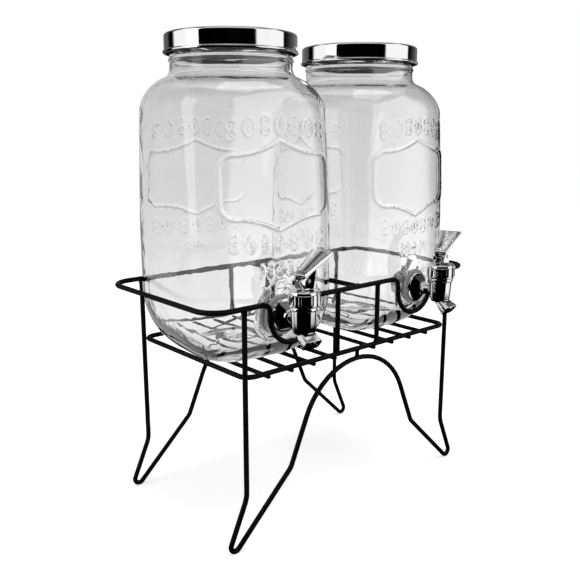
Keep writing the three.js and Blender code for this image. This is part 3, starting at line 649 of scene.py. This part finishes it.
def spout():
    """The spout: a section with cut corners that goes in straight lines from a level throat to a tilted
    mouth, P = (1 - s) T + s M, and back up inside to a blind end."""
    share = np.array([-0.3, -0.3, 0, 0.3, 0.6, 0.9, 0.975, 1.0, 1.0, 0.99, 0.9, 0.6, 0.3, 0.05, 0.05])
    wall = np.array([0, 0, 0, 0, 0, 0, 0, 0.25, 0.6, 0.9, 1.0, 1.1, 1.2, 1.3, 1.3])
    spread = np.array([0.0] + [1] * 13 + [0.0])
    corners = [(1, -0.72, 0.05), (1, 0.72, 0.05), (0.82, 1, 0.05), (-0.82, 1, 0.05),
               (-1, 0.72, 0.05), (-1, -0.72, 0.05), (-0.82, -1, 0.05), (0.82, -1, 0.05)]
    side, front = softened(corners, steps=3).T
    share, wall, spread = share[:, None], wall[:, None], spread[:, None]
    scale = spread * (THROAT_SHARE + (1 - THROAT_SHARE) * share)
    across = (MOUTH_HALF_WIDTH - wall) * side * scale
    deep = (MOUTH_HALF_DEPTH - wall) * front * scale
    level = 1 - share + share * cos(MOUTH_LEAN)
    return surface(np.stack([
        across,
        -deep * level - MOUTH_REACH * share,
        deep * share * sin(MOUTH_LEAN) - THROAT_DROP - (MOUTH_DROP - THROAT_DROP) * share,
    ], -1))


def collar():
    """The fluted collar: between its plain bands the reach drops by a flute's depth, over the floor's share
    of each."""
    outer, foot, top, eye = COLLAR_RADIUS, COLLAR_FOOT, COLLAR_TOP, STEM_RADIUS + 0.4
    profile = softened([
        (COLLAR_BORE, foot, 0.2), (outer - 0.1, foot, 0.4), (outer, foot + 1.4, 0), (outer, foot + 1.7, 0),
        (outer, top - 3.6, 0), (outer, top - 3.2, 0), (outer - 0.5, top - 2.9, 0.1),
        (outer - 0.6, top - 0.9, 0.6), (outer - 1.9, top, 0.6), (eye, top, 0.3), (eye, top - 4.5, 0.2),
        (COLLAR_BORE, top - 4.5, 0.2),
    ])
    radius, height = profile[:, :1], profile[:, 1:]
    flute = (np.arange(FLUTES * FLUTE_COLUMNS)[None, :] / FLUTE_COLUMNS) % 1
    groove = np.interp(flute, [0, 0.5, 0.6, 0.92, 1], [0, 0, 1, 1, 0])
    window = (radius > outer - 0.05) * (height > foot + 1.6) * (height < top - 3.5)
    return surface(rings(radius - FLUTE_DEPTH * groove * window, height), ring=True)


def valve_plug():
    """The rubber plug: a nose in the seat, a disc on it and a sleeve up the stem."""
    seat, bore, pocket = GAP - SEAT_DROP, STEM_RADIUS + GAP, STEM_FOOT - GAP
    return turned_soft([
        (0, seat - 1.8, 0), (3.2, seat - 1.8, 0.5), (3.8, seat, 0.3), (6.3, seat, 0.5), (6.3, -1.2, 0.6),
        (4.5, -1.2, 0.4), (4.5, 3.3, 0.5), (bore, 3.3, 0.2), (bore, pocket, 0.1), (0, pocket, 0),
    ], 64)


def valve_stem():
    """The stem: a rod with a rounded foot, and a flat-sided eye round the pin."""
    foot, top = STEM_FOOT, PIN_HEIGHT - 2
    upright = turned_soft([(0, foot, 0), (STEM_RADIUS, foot, 0.5), (STEM_RADIUS, top, 0.2), (0, top, 0)], 48)
    eye = washer(EYE_RADIUS, PIN_RADIUS + GAP, -STEM_RADIUS, STEM_RADIUS, 0.5)
    return joined(on_valve(upright), on_pin(crosswise(eye)))


def lever_pin():
    """The lever's pin, its ends swelling to low domed heads."""
    half = LEVER_WIDTH / 2
    near = [(0, 0.75, 0), (1.4, 0.55, 0.4), (1.95, 0.05, 0.3), (PIN_RADIUS, -0.1, 0.1)]
    ends = [[(reach, way * (half + out), cut) for reach, out, cut in near] for way in (-1, 1)]
    return on_pin(crosswise(turned_soft(ends[0] + ends[1][::-1], 40)))


def paddle():
    """The lever's paddle: a rounded section that widens evenly from tail to tip, its top sunk inside a
    border."""
    tip, fine = LEVER_LENGTH, np.linspace(LEVER_BORDER - 0.2, LEVER_BORDER + LEVER_STEP + 0.2, 11)
    steps = np.concatenate([[0, 0, 0.12, 0.4, 0.8, 1.2], fine, np.linspace(3.8, tip - 3.8, 16),
                            tip - fine[::-1], [32.8, 33.3, 33.7, 33.92, tip, tip]])
    edge = np.minimum(np.clip(steps, 0, LEVER_EDGE), np.clip(tip - steps, 0, LEVER_EDGE))
    inset = LEVER_EDGE - np.sqrt(np.maximum(LEVER_EDGE ** 2 - (LEVER_EDGE - edge) ** 2, 0))
    shut = np.ones((len(steps), 1))
    shut[[0, -1]] = 0
    half = (LEVER_WIDTH / 2 + (LEVER_TIP_WIDTH - LEVER_WIDTH) / 2 * steps / tip - inset * 0.9)[:, None]
    rise = (inset * 0.9)[:, None]
    outline = softened([(-1, 0, 0.06), (1, 0, 0.06), (1, -1, 0.09), (-1, -1, 0.09)], steps=5)
    across = np.linspace(-0.97, 0.97, 97)
    under = outline[(outline[:, 1] < -0.5) | (np.abs(outline[:, 0]) > 0.975)]
    order = np.argsort(-np.arctan2(under[:, 1] + 0.5, under[:, 0]) % (2 * pi))
    section = np.concatenate([np.stack([across, 0 * across], -1), under[order]])
    y = half * section[None, :, 0]
    top = section[:, 1] > -0.03
    lengthwise = ease((steps - LEVER_BORDER) / LEVER_STEP) * ease((tip - LEVER_BORDER - steps) / LEVER_STEP)
    sidewise = ease((half - LEVER_BORDER - np.abs(y)) / LEVER_STEP)
    sink = LEVER_RECESS * sidewise * lengthwise[:, None] * top[None, :]
    z = LEVER_DEPTH * section[None, :, 1]
    middle = -LEVER_DEPTH / 2
    z = middle + (z - middle) * (1 - rise / (LEVER_DEPTH / 2)) - sink
    y, z = y * shut, np.where(shut > 0, z, middle)
    x = steps[:, None] + 0 * y
    c, s = cos(LEVER_TILT), sin(LEVER_TILT)
    return on_pin(surface(np.stack([c * x - s * z - LEVER_TAIL, y, s * x + c * z + LEVER_TAIL_RISE], -1)))


def hub_outline():
    """The lever's side round the pin: a flat, the cam's involute, whose depth grows evenly with the turn,
    and the cheek under the paddle."""
    growth = CAM_LIFT / CAM_TURN
    turn = np.linspace(0, CAM_TURN, 17)
    drop = CAM_DROP + growth * turn
    c, s = np.cos(turn), np.sin(turn)
    cam = np.stack([-drop * s - growth * c, -drop * c + growth * s], -1)
    slope = tan(LEVER_TILT)
    under = LEVER_TAIL_RISE - LEVER_DEPTH / cos(LEVER_TILT) + 1
    tail = -LEVER_TAIL + LEVER_DEPTH * sin(LEVER_TILT)
    return np.concatenate([[[CAM_FLAT, -CAM_DROP]], cam,
                           [[tail, under + (tail + LEVER_TAIL) * slope],
                            [CHEEK_REACH, under + (CHEEK_REACH + LEVER_TAIL) * slope]]])


def across_lever(outline, stations):
    """A side outline carried across the lever through stations of (place, share of the outline)."""
    stations, middle = np.array(stations), outline.mean(0)
    flat = middle + stations[:, 1, None, None] * (outline - middle)
    y = np.repeat(stations[:, :1], len(outline), 1)
    return on_pin(surface(np.stack([flat[..., 0], y, flat[..., 1]], -1)))


def hub_cheek(low, high):
    """One cheek of the hub, drawn in a little at both faces to round them."""
    near = [(0, 0), (0, 0.87), (0.1, 0.91), (0.7, 0.97), (1.2, 1)]
    return across_lever(hub_outline(), [(low + deep, share) for deep, share in near]
                        + [(high - deep, share) for deep, share in near[::-1]])


def hub_block(half):
    """The hub beyond the stem's eye, between the two cheeks."""
    outline, near = hub_outline(), EYE_RADIUS + GAP
    foot, top = outline[0], outline[-1]
    under = top[1] - (top[0] - near) * tan(LEVER_TILT)
    corners = np.array([(foot[0], foot[1] + 0.1), (near, foot[1] + 0.1), (near, under),
                        (top[0] - 0.3, top[1] - 0.1)])
    return across_lever(corners, [(-half, 0), (-half, 1), (half, 1), (half, 0)])


def lever():
    """The lever: a paddle on a hub that is forked round the stem."""
    half, slot = LEVER_WIDTH / 2, STEM_RADIUS + GAP
    return joined(paddle(), hub_cheek(-half, -slot), hub_cheek(slot, half), hub_block(slot))


# Stand

def top_rim():
    """The rim: a closed wire with round corners and two dips of a half circle below the taps."""
    front, top, floor = -RIM_HALF_WIDTH, RIM_HEIGHT, RIM_HEIGHT - DIP_DEPTH
    dip = [(-DIP_RADIUS, top, DIP_CORNER), (-DIP_RADIUS, floor, DIP_RADIUS), (DIP_RADIUS, floor, DIP_RADIUS),
           (DIP_RADIUS, top, DIP_CORNER)]
    dips = [(middle + x, front, z, radius) for middle in (-JAR_OFFSET, JAR_OFFSET) for x, z, radius in dip]
    ends = [(x * RIM_HALF_LENGTH, y * front, top, RIM_CORNER)
            for x, y in ((1, -1), (-1, -1), (-1, 1), (1, 1))]
    corners = np.array(ends[:3] + dips + ends[3:])
    path = bent(corners[:, :3], corners[:, 3], loop=True, steps=14)
    flat = np.roll(path, -1, 0) - np.roll(path, 1, 0)
    along = np.abs(flat[:, 2]) > 0.999 * np.linalg.norm(flat, axis=1)
    side = np.stack([-flat[:, 1], flat[:, 0], 0 * flat[:, 0]], -1)
    side[along | (np.abs(path[:, 1] - front) < 1e-6)] = (0, 1, 0)
    side = unit(side) * np.sign((side * (path * [1, 1, 0])).sum(1, keepdims=True))
    return wire(path, side, WIRE, loop=True)


def tray_loop():
    """The tray's loop: a closed wire with round corners."""
    signs = np.array([(1, 1), (-1, 1), (-1, -1), (1, -1)])
    corners = np.concatenate([signs * [TRAY_HALF_LENGTH, RIM_HALF_WIDTH], np.full((4, 1), TRAY_HEIGHT)], 1)
    return wire(bent(corners, np.full(4, TRAY_CORNER), loop=True), (0, 0, 1), WIRE, loop=True)


def tangent_crossing(first, second, centre, radius):
    """Where two straight wires would cross, each leaving its point at a tangent to one circle, which it
    touches at the point's own angle less or more acos(r / d)."""
    def touch(point, sign):
        away = point - centre
        angle = atan2(away[1], away[0]) + sign * acos(radius / np.hypot(*away))
        return centre + radius * np.array([cos(angle), sin(angle)]) - point
    a, b = touch(first, -1), touch(second, 1)
    between = second - first
    return first + a * (between[0] * b[1] - between[1] * b[0]) / (a[0] * b[1] - a[1] * b[0])


def leg_wire(y):
    """A leg frame: one wire down to a foot, up over the arch, and the same mirrored, its feet worn flat."""
    knee = np.array([KNEE_REACH, KNEE_HEIGHT])
    foot_centre = np.array([FOOT_REACH, FOOT_BEND + WIRE - FOOT_FLAT])
    foot = tangent_crossing(np.array([LEG_OFFSET, LEG_BREAK]), knee, foot_centre, FOOT_BEND)
    arch = tangent_crossing(knee * [-1, 1], knee, np.array([0, ARCH_HEIGHT - ARCH_RADIUS]), ARCH_RADIUS)
    half = np.array([(LEG_OFFSET, LEG_TOP, 0), (LEG_OFFSET, LEG_BREAK, LEG_BREAK_RADIUS),
                     (*foot, FOOT_BEND), (*knee, KNEE_RADIUS)])
    line = np.concatenate([half, [(*arch, ARCH_RADIUS)], half[::-1] * [-1, 1, 1]])
    corners = np.stack([line[:, 0], np.full(len(line), y), line[:, 1]], -1)
    path = bent(corners, line[:, 2], steps=20)
    lead = np.array([(LEG_OFFSET, y, LEG_TOP - drop) for drop in (0.6, 1.4, 2.4, 4.0, 7.0)])
    path = np.concatenate([path[:1], lead, path[1:-1], lead[::-1] * [-1, 1, 1], path[-1:]])
    radii = WIRE + 0.7 * np.exp(-((LEG_TOP - path[:, 2] - 0.8) / 1.6) ** 2)
    points, faces = wire(path, (0, 1, 0), radii)
    return np.maximum(points, [-np.inf, -np.inf, 0]), faces


# Finishes

def fed(tree, node, inputs):
    """Gives each named input of a node its value, or a link where that is a socket."""
    for name, value in inputs.items():
        if isinstance(value, bpy.types.NodeSocket):
            tree.links.new(value, node.inputs[name])
        else:
            node.inputs[name].default_value = value


def added(tree, kind, inputs=None, **settings):
    """The outputs of a new shader node with these inputs and settings."""
    node = tree.nodes.new("ShaderNode" + kind)
    for name, value in settings.items():
        setattr(node, name, value)
    fed(tree, node, inputs or {})
    return node.outputs


def maths(tree, operation, *values):
    """What the shader works out from numbers and sockets."""
    return added(tree, "Math", dict(enumerate(values)), operation=operation)["Value"]


def mapped(tree, value, low, high, to_low=0.0, to_high=1.0):
    """A value carried from one span to another in a straight line, and held to its ends."""
    spans = {"Value": value, "From Min": low, "From Max": high, "To Min": to_low, "To Max": to_high}
    return added(tree, "MapRange", spans)["Result"]


def grey(tone):
    """A grey as an opaque colour."""
    return tone, tone, tone, 1


def mixed(tree, share, first, second, blend="MIX"):
    """Two colours mixed by a share."""
    inputs = {"Factor": share, "A": first, "B": second}
    return added(tree, "Mix", inputs, data_type="RGBA", blend_type=blend)["Result"]


def node_group(name, inputs, outputs):
    """A shader node group: its tree, the sockets of its inputs, each with a usual value, and those of its
    outputs."""
    tree = bpy.data.node_groups.new(name, "ShaderNodeTree")
    for label, value in inputs.items():
        tree.interface.new_socket(label, in_out="INPUT", socket_type="NodeSocketFloat").default_value = value
    for label in outputs:
        tree.interface.new_socket(label, in_out="OUTPUT", socket_type="NodeSocketFloat")
    return tree, tree.nodes.new("NodeGroupInput").outputs, tree.nodes.new("NodeGroupOutput").inputs


def ripple_group():
    """Uneven height: fine noise, with noise five times as broad mixed in by a share."""
    tree, given, out = node_group("ripple", {"Scale": 100, "Detail": 2, "Broad share": 0.3}, ["Height"])
    place = added(tree, "TexCoord")["Object"]
    scale, detail = given["Scale"], given["Detail"]
    fine = added(tree, "TexNoise", {"Vector": place, "Scale": scale, "Detail": detail})["Fac"]
    broad_scale = maths(tree, "MULTIPLY", scale, 1 / 5)
    broad = added(tree, "TexNoise", {"Vector": place, "Scale": broad_scale})["Fac"]
    height = added(tree, "Mix", {"Factor": given["Broad share"], "A": fine, "B": broad})["Result"]
    tree.links.new(height, out["Height"])
    return tree


def handling_group():
    """The marks of handling, smears with fine upright streaks, as a value between limits and as a mask."""
    tree, given, out = node_group("handling", {"Scale": 30, "Low": 0.05, "High": 0.1}, ["Value", "Mask"])
    place = added(tree, "TexCoord")["Object"]
    stretched = added(tree, "Mapping", {"Vector": place, "Scale": (1, 1, 0.35)})["Vector"]
    streak = added(tree, "TexNoise", {"Vector": stretched, "Scale": 420})["Fac"]
    patch = added(tree, "TexNoise", {"Vector": place, "Scale": given["Scale"], "Detail": 4})["Fac"]
    mask = mapped(tree, maths(tree, "MULTIPLY_ADD", streak, 0.25, patch), 0.5, 0.8)
    tree.links.new(mask, out["Mask"])
    tree.links.new(mapped(tree, mask, 0, 1, given["Low"], given["High"]), out["Value"])
    return tree


RIPPLE, HANDLING = ripple_group(), handling_group()


def finish(name, colours, roughness, smears, ripple, settings):
    """A material: one colour or two mixed by the handling mask, roughness between two limits, a rippled
    surface, and other settings of the shader."""
    material = bpy.data.materials.new(name)
    material.use_nodes = True
    tree = material.node_tree
    low, high = roughness
    scale, detail, broad, depth = ripple
    marks = added(tree, "Group", {"Scale": smears, "Low": low, "High": high}, node_tree=HANDLING)
    waves = added(tree, "Group", {"Scale": scale, "Detail": detail, "Broad share": broad}, node_tree=RIPPLE)
    bump = added(tree, "Bump", {"Height": waves["Height"], "Distance": depth * MM})
    opaque = [(*colour, 1) for colour in colours]
    colour = mixed(tree, marks["Mask"], *opaque) if len(opaque) == 2 else opaque[0]
    fed(tree, tree.nodes["Principled BSDF"],
        {"Base Color": colour, "Roughness": marks["Value"], "Normal": bump["Normal"], **settings})
    return material


def painted_dark(material, shade_mask, tone):
    """The material with its colour brought to a dark tone by a mask, as painted shade."""
    tree = material.node_tree
    shader = tree.nodes["Principled BSDF"]
    bright = shader.inputs["Base Color"].links[0].from_socket
    fed(tree, shader, {"Base Color": mixed(tree, shade_mask, bright, grey(tone))})
    return material


def painted_corner_shade(material):
    """Paints shade into metal's colour in its own narrow inner corners, which ambient occlusion finds."""
    tree = material.node_tree
    clear = added(tree, "AmbientOcclusion", {"Distance": CORNER_SHADE_REACH * MM}, only_local=True, samples=6)["AO"]
    return painted_dark(material, mapped(tree, clear, 0.68, 0.92, 1, 0), 0.03)


def painted_lid_shade(material):
    """Paints shade on the lid's metal inside and under its rolled foot, by the height and the distance from
    the nearer jar's axis.
    """
    tree = material.node_tree
    place = added(tree, "SeparateXYZ", {0: added(tree, "TexCoord")["Object"]})
    x = maths(tree, "SUBTRACT", maths(tree, "ABSOLUTE", place["X"]), JAR_OFFSET * MM)
    y = maths(tree, "SUBTRACT", place["Y"], STAND_MIDDLE * MM)
    square = maths(tree, "MULTIPLY_ADD", x, x, maths(tree, "MULTIPLY", y, y))
    within = maths(tree, "LESS_THAN", square, ((LID_RADIUS - 0.7) * MM) ** 2)
    under = maths(tree, "LESS_THAN", place["Z"], (JAR_BASE + LID_TOP - 0.9) * MM)
    below = maths(tree, "LESS_THAN", place["Z"], (JAR_BASE + LID_FOOT + 1) * MM)
    inside = maths(tree, "MULTIPLY", within, under)
    return painted_dark(material, maths(tree, "MAXIMUM", inside, below), 0.02)


POLISHED = ([(0.93, 0.93, 0.94), (0.9, 0.9, 0.91)], (0.035, 0.08), 40, (120, 2, 0.5, 0.03), {"Metallic": 1})
# Bright chrome, with painted shade in its inner corners
CHROME = painted_corner_shade(finish("bright chrome", *POLISHED))
# The lid's bright metal, with painted shade inside it and under its rolled foot
LID_METAL = painted_lid_shade(finish("bright lid", *POLISHED))
GLASS = finish("clear glass", [(0.962, 0.964, 0.963)], (0, 0.003), 14, (70, 1, 0.6, 0.5),
               {"Transmission Weight": 1, "IOR": 1.5})
STEEL = finish("plain steel", [(0.59, 0.59, 0.59), (0.49, 0.49, 0.49)], (0.22, 0.38), 60, (500, 3, 0.3, 0.02),
               {"Metallic": 1})
BLACK_COAT = finish("black coat", [(0.0025, 0.0025, 0.0027), (0.006, 0.006, 0.0064)], (0.36, 0.52), 35,
                    (900, 2, 0.2, 0.05), {"Specular IOR Level": 0.09})
SILICONE = finish("clear grey silicone", [(0.62, 0.62, 0.61), (0.52, 0.52, 0.51)], (0.25, 0.42), 90,
                  (300, 2, 0.3, 0.06), {"Transmission Weight": 0.35, "IOR": 1.41, "Subsurface Weight": 0.3,
                                        "Subsurface Scale": 0.004})
DARK_RUBBER = finish("dark rubber", [(0.018, 0.018, 0.018), (0.035, 0.034, 0.033)], (0.55, 0.75), 120,
                     (700, 3, 0.3, 0.05), {"Specular IOR Level": 0.4})
DARK_FOAM = finish("dark foam", [(0.03, 0.03, 0.032), (0.05, 0.05, 0.052)], (0.6, 0.85), 80,
                   (900, 3, 0.2, 0.12), {"Sheen Weight": 0.1})


# The dressed object

def dress_stand():
    """The stand's wires, each drawn on to its weld."""
    def add(name, shape, node):
        points, faces = shape
        make(name, (points + [0, STAND_MIDDLE, 0], faces), BLACK_COAT, "stand", node)

    add("rim_wire", top_rim(), "top_rim")
    add("tray_loop_wire", tray_loop(), "tray_loop")
    reach = RIM_HALF_WIDTH - 0.8
    add("divider_wire", rod((0, -reach, RIM_HEIGHT), (0, reach, RIM_HEIGHT), WIRE, weld=0.7), "rim_divider")
    tail = RIM_HALF_WIDTH + CROSS_TAIL
    for number, step in enumerate((-4, -3, -2, -1, 1, 2, 3, 4), 1):
        x = step * CROSS_PITCH
        cross = rod((x, -tail, CROSS_HEIGHT), (x, tail, CROSS_HEIGHT), CROSS_WIRE, dome=0.7)
        add(f"cross_wire_{number}", cross, f"tray_wire_{number}")
    for end, y in (("front", -RIM_HALF_WIDTH), ("rear", RIM_HALF_WIDTH)):
        add(f"{end}_legs", leg_wire(y), f"{end}_leg_wire")
        for side, x in (("left", -CROSS_PITCH), ("right", CROSS_PITCH)):
            post = rod((x, y, TRAY_HEIGHT + 1.2), (x, y, RIM_HEIGHT - 1.2), WIRE, weld=0.7)
            add(f"{end}_{side}_post", post, f"{end}_{side}_upright")
        stub = rod((0, y, ARCH_HEIGHT + 1), (0, y, TRAY_HEIGHT - 1), STUB, weld=0.6)
        add(f"{end}_stub", stub, f"{end}_arch_stub")


def dress_side(side):
    """One jar with its lid and its tap."""
    body, plug, stem = f"{side}_dispenser", f"{side}_plug", f"{side}_stem"

    def add(name, shape, material, rides, slot, node, sharp=35):
        return make(f"{side}_{name}", in_stand(shape, side), material, rides, f"{side}_{node}", sharp)

    jar = add("glass_jar", jar_glass(), GLASS, body, "clear_glass", "jar", 50)
    low, high = INNER_PAD_FACE - 3, PAD_FACE + 3
    hole = outwards(turned([(0, low), (HOLE_RADIUS, low), (HOLE_RADIUS, high), (0, high)], 64))
    cut_away(jar, in_stand(hole, side))
    add("metal_lid", lid_metal(), LID_METAL, f"{side}_lid", "bright_chrome", "lid_shell")
    add("foam_liner", lid_liner(), DARK_FOAM, f"{side}_liner", "dark_liner", "lid_liner")
    front_washer = washer(FRONT_WASHER, HOLE_RADIUS, PAD_FACE + GAP, FLANGE_FACE - GAP, 1.2)
    back_washer = washer(NUT_RADIUS, HOLE_RADIUS, NUT_FACE + GAP, INNER_PAD_FACE - GAP)
    add("front_washer", outwards(front_washer), SILICONE, body, "silicone", "outer_gasket")
    add("back_washer", outwards(back_washer), SILICONE, body, "silicone", "inner_gasket")
    add("hex_nut", outwards(lock_nut()), STEEL, body, "plain_steel", "lock_nut", 28)
    tap = outwards(joined(threaded_shank(), flange_and_dome()))
    valve = on_valve(joined(valve_barrel(), spout()))
    add("tap", joined(tap, valve), CHROME, body, "bright_chrome", "tap_body", 24)
    add("fluted_collar", on_valve(collar()), CHROME, body, "bright_chrome", "tap_collar", 28)
    stem_washer = washer(BONNET_RADIUS, STEM_RADIUS + 0.4, BONNET_RISE + GAP, BONNET_RISE + 2.4, 0.3)
    add("stem_washer", on_valve(stem_washer), DARK_RUBBER, body, "dark_rubber", "bonnet_seal")
    add("rubber_plug", on_valve(valve_plug()), DARK_RUBBER, plug, "dark_rubber", "valve_seal")
    add("stem_rod", valve_stem(), STEEL, stem, "plain_steel", "valve_stem")
    add("pivot_pin", lever_pin(), STEEL, stem, "plain_steel", "lever_pin")
    add("lever_handle", lever(), CHROME, f"{side}_handle_lever", "bright_chrome", "lever", 30)


# Studio

VIEW_FROM = (-0.46156, -0.49747, 0.34460)
VIEW_YAW = radians(40.97)
VIEW_PITCH = radians(12.46)
VIEW_LENS = 44.70
FLOOR_HALF = 6


def make_camera():
    """The photograph's view, 41 degrees to the right of straight back and 12 degrees down."""
    lens = bpy.data.cameras.new("view")
    lens.lens, lens.sensor_width, lens.clip_end = VIEW_LENS, 36.0, 20.0
    camera = placed("view", lens)
    camera.location = VIEW_FROM
    camera.rotation_euler = (pi / 2 - VIEW_PITCH, 0, -VIEW_YAW)
    bpy.context.scene.camera = camera


def by_ray(tree, soft, mirrored, glassy, through, seen):
    """The colour that a ray meets, the last kind that fits: soft, off metal, off smooth glass, through
    glass, or from the camera."""
    path = added(tree, "LightPath")
    colour = soft
    kinds = {"Glossy": mirrored, "Singular": glassy, "Transmission": through, "Camera": seen}
    for kind, met in kinds.items():
        colour = mixed(tree, path[f"Is {kind} Ray"], colour, met)
    return colour


def curve_of(tree, value, stops):
    """A grey for a value by a ramp that eases through (place, tone) stops."""
    ramp = tree.nodes.new("ShaderNodeValToRGB")
    ramp.color_ramp.interpolation = "EASE"
    elements = ramp.color_ramp.elements
    for place, tone in stops[2:]:
        elements.new(place)
    for element, (place, tone) in zip(elements, stops):
        element.position = place
        element.color = grey(tone)
    tree.links.new(value, ramp.inputs["Fac"])
    return ramp.outputs["Color"]


def tone_round(tree, place, stops):
    """A grey by the bearing of a place. The stops are degrees, 0 towards the camera and above 0 to the
    right of it, and tones."""
    c, s = cos(VIEW_YAW), sin(VIEW_YAW)
    front, right = (added(tree, "VectorMath", {0: place, 1: way}, operation="DOT_PRODUCT")["Value"]
                    for way in ((-s, -c, 0), (c, -s, 0)))
    bearing = mapped(tree, maths(tree, "ARCTAN2", right, front), -pi, pi)
    return curve_of(tree, bearing, [(0.5 + degrees / 360, tone) for degrees, tone in stops])


def screens(tree, place, dark, light):
    """What metal mirrors: black in front, a white screen to each side of that, and dark beyond. The right
    screen is white over the light spans of bearings."""
    stops = [(-180, 0.25), (-134, 0.1), (-122, 0), (-112, 0), (-104, 1), (dark, 1), (dark + 5, 0)]
    for low, high in light:
        stops += [(low - 4, 0), (low, 1), (high, 1), (high + 3, 0)]
    return tone_round(tree, place, stops + [(180, 0.25)])


def lit_sides(tree, place, tone):
    """What glass shows through itself: a tone, darker to the right of straight behind."""
    share = tone_round(tree, place, [(-180, 1), (100, 1), (114, 0.4), (130, 0.4), (142, 1), (180, 1)])
    return mixed(tree, 1, tone, share, "MULTIPLY")


def glints(tree, place):
    """What smooth glass mirrors: a bright screen to the right of the front and black beyond it."""
    tone = tone_round(tree, place, [
        (-180, 0.2), (-150, 0.2), (-60, 0.14), (0, 0.07), (18, 0.15), (30, 1), (95, 1), (112, 0),
        (165, 0), (180, 0.1)])
    return mixed(tree, 1, tone, grey(3.6), "MULTIPLY")


def make_world():
    """A white studio, where metal mirrors a darker front, white screens beside it and a light ceiling."""
    world = bpy.data.worlds.new("studio")
    bpy.context.scene.world = world
    world.use_nodes = True
    tree = world.node_tree
    place = added(tree, "TexCoord")["Generated"]
    height = mapped(tree, added(tree, "SeparateXYZ", {0: place})["Z"], -1, 1)
    ceiling = curve_of(tree, height, [(0, 0), (0.83, 0), (0.855, 1), (1, 1)])
    overhead = curve_of(tree, height, [
        (0, 0.75), (0.872, 0.75), (0.9, 0.15), (0.935, 0.15), (0.965, 0.65), (1, 0.65)])
    behind = curve_of(tree, height, [
        (0, 0.82), (0.47, 0.75), (0.487, 0.7), (0.5, 0.69), (0.52, 0.65), (0.58, 0.52), (0.7, 0.4),
        (0.82, 0.72), (0.87, 0.7), (0.9, 0.15), (0.935, 0.15), (0.965, 0.6), (1, 0.6)])
    mirrored = mixed(tree, ceiling, screens(tree, place, -56, [(50, 104)]), overhead)
    glassy = mixed(tree, ceiling, glints(tree, place), grey(0.8))
    met = by_ray(tree, grey(0.5), mirrored, glassy, lit_sides(tree, place, behind), grey(1))
    fed(tree, tree.nodes["Background"], {"Color": met})


def make_floor():
    """A pale floor that keeps the object's shadow and glows for every ray but a soft one."""
    mesh = bpy.data.meshes.new("floor")
    corners = [(x * FLOOR_HALF, y * FLOOR_HALF, 0) for x, y in ((-1, -1), (1, -1), (1, 1), (-1, 1))]
    mesh.from_pydata(corners, [], [(0, 1, 2, 3)])
    paint = bpy.data.materials.new("pale floor")
    paint.use_nodes = True
    tree = paint.node_tree
    place = added(tree, "TexCoord")["Object"]
    far = mapped(tree, added(tree, "VectorMath", {0: place}, operation="LENGTH")["Value"], 0.4, 0.7)
    mirrored = mixed(tree, far, grey(0), screens(tree, place, -60, [(52, 90), (113, 155)]))
    glassy = mixed(tree, far, grey(0.9), glints(tree, place))
    pale, dark = grey(0.86), grey(0)
    colour = by_ray(tree, pale, dark, dark, lit_sides(tree, place, pale), pale)
    glow = by_ray(tree, dark, mirrored, glassy, lit_sides(tree, place, grey(0.27)), grey(0.57))
    fed(tree, tree.nodes["Principled BSDF"],
        {"Base Color": colour, "Roughness": 0.9, "Specular IOR Level": 0, "Emission Color": glow,
         "Emission Strength": 1})
    mesh.materials.append(paint)
    placed("floor", mesh)


def area_lamp(name, place, aim, size, power):
    """A soft rectangular lamp that faces a point."""
    lamp = bpy.data.lights.new(name, "AREA")
    lamp.shape, lamp.size, lamp.size_y, lamp.energy = "RECTANGLE", *size, power
    holder = placed(name, lamp)
    holder.location = place
    x, y, z = np.subtract(aim, place)
    holder.rotation_euler = (atan2(np.hypot(x, y), -z), 0, atan2(-x, y))
    return holder


bpy.context.scene.view_settings.view_transform = "Standard"
make_camera()
dress_stand()
dress_side("left")
dress_side("right")
make_world()
make_floor()
area_lamp("left window", (-1.5, 0.35, 0.75), (0, 0, 0.25), (0.6, 1.4), 3.5)
area_lamp("overhead", (0.2, -0.3, 1.9), (0, 0, 0.2), (1.2, 1.2), 14).visible_glossy = False
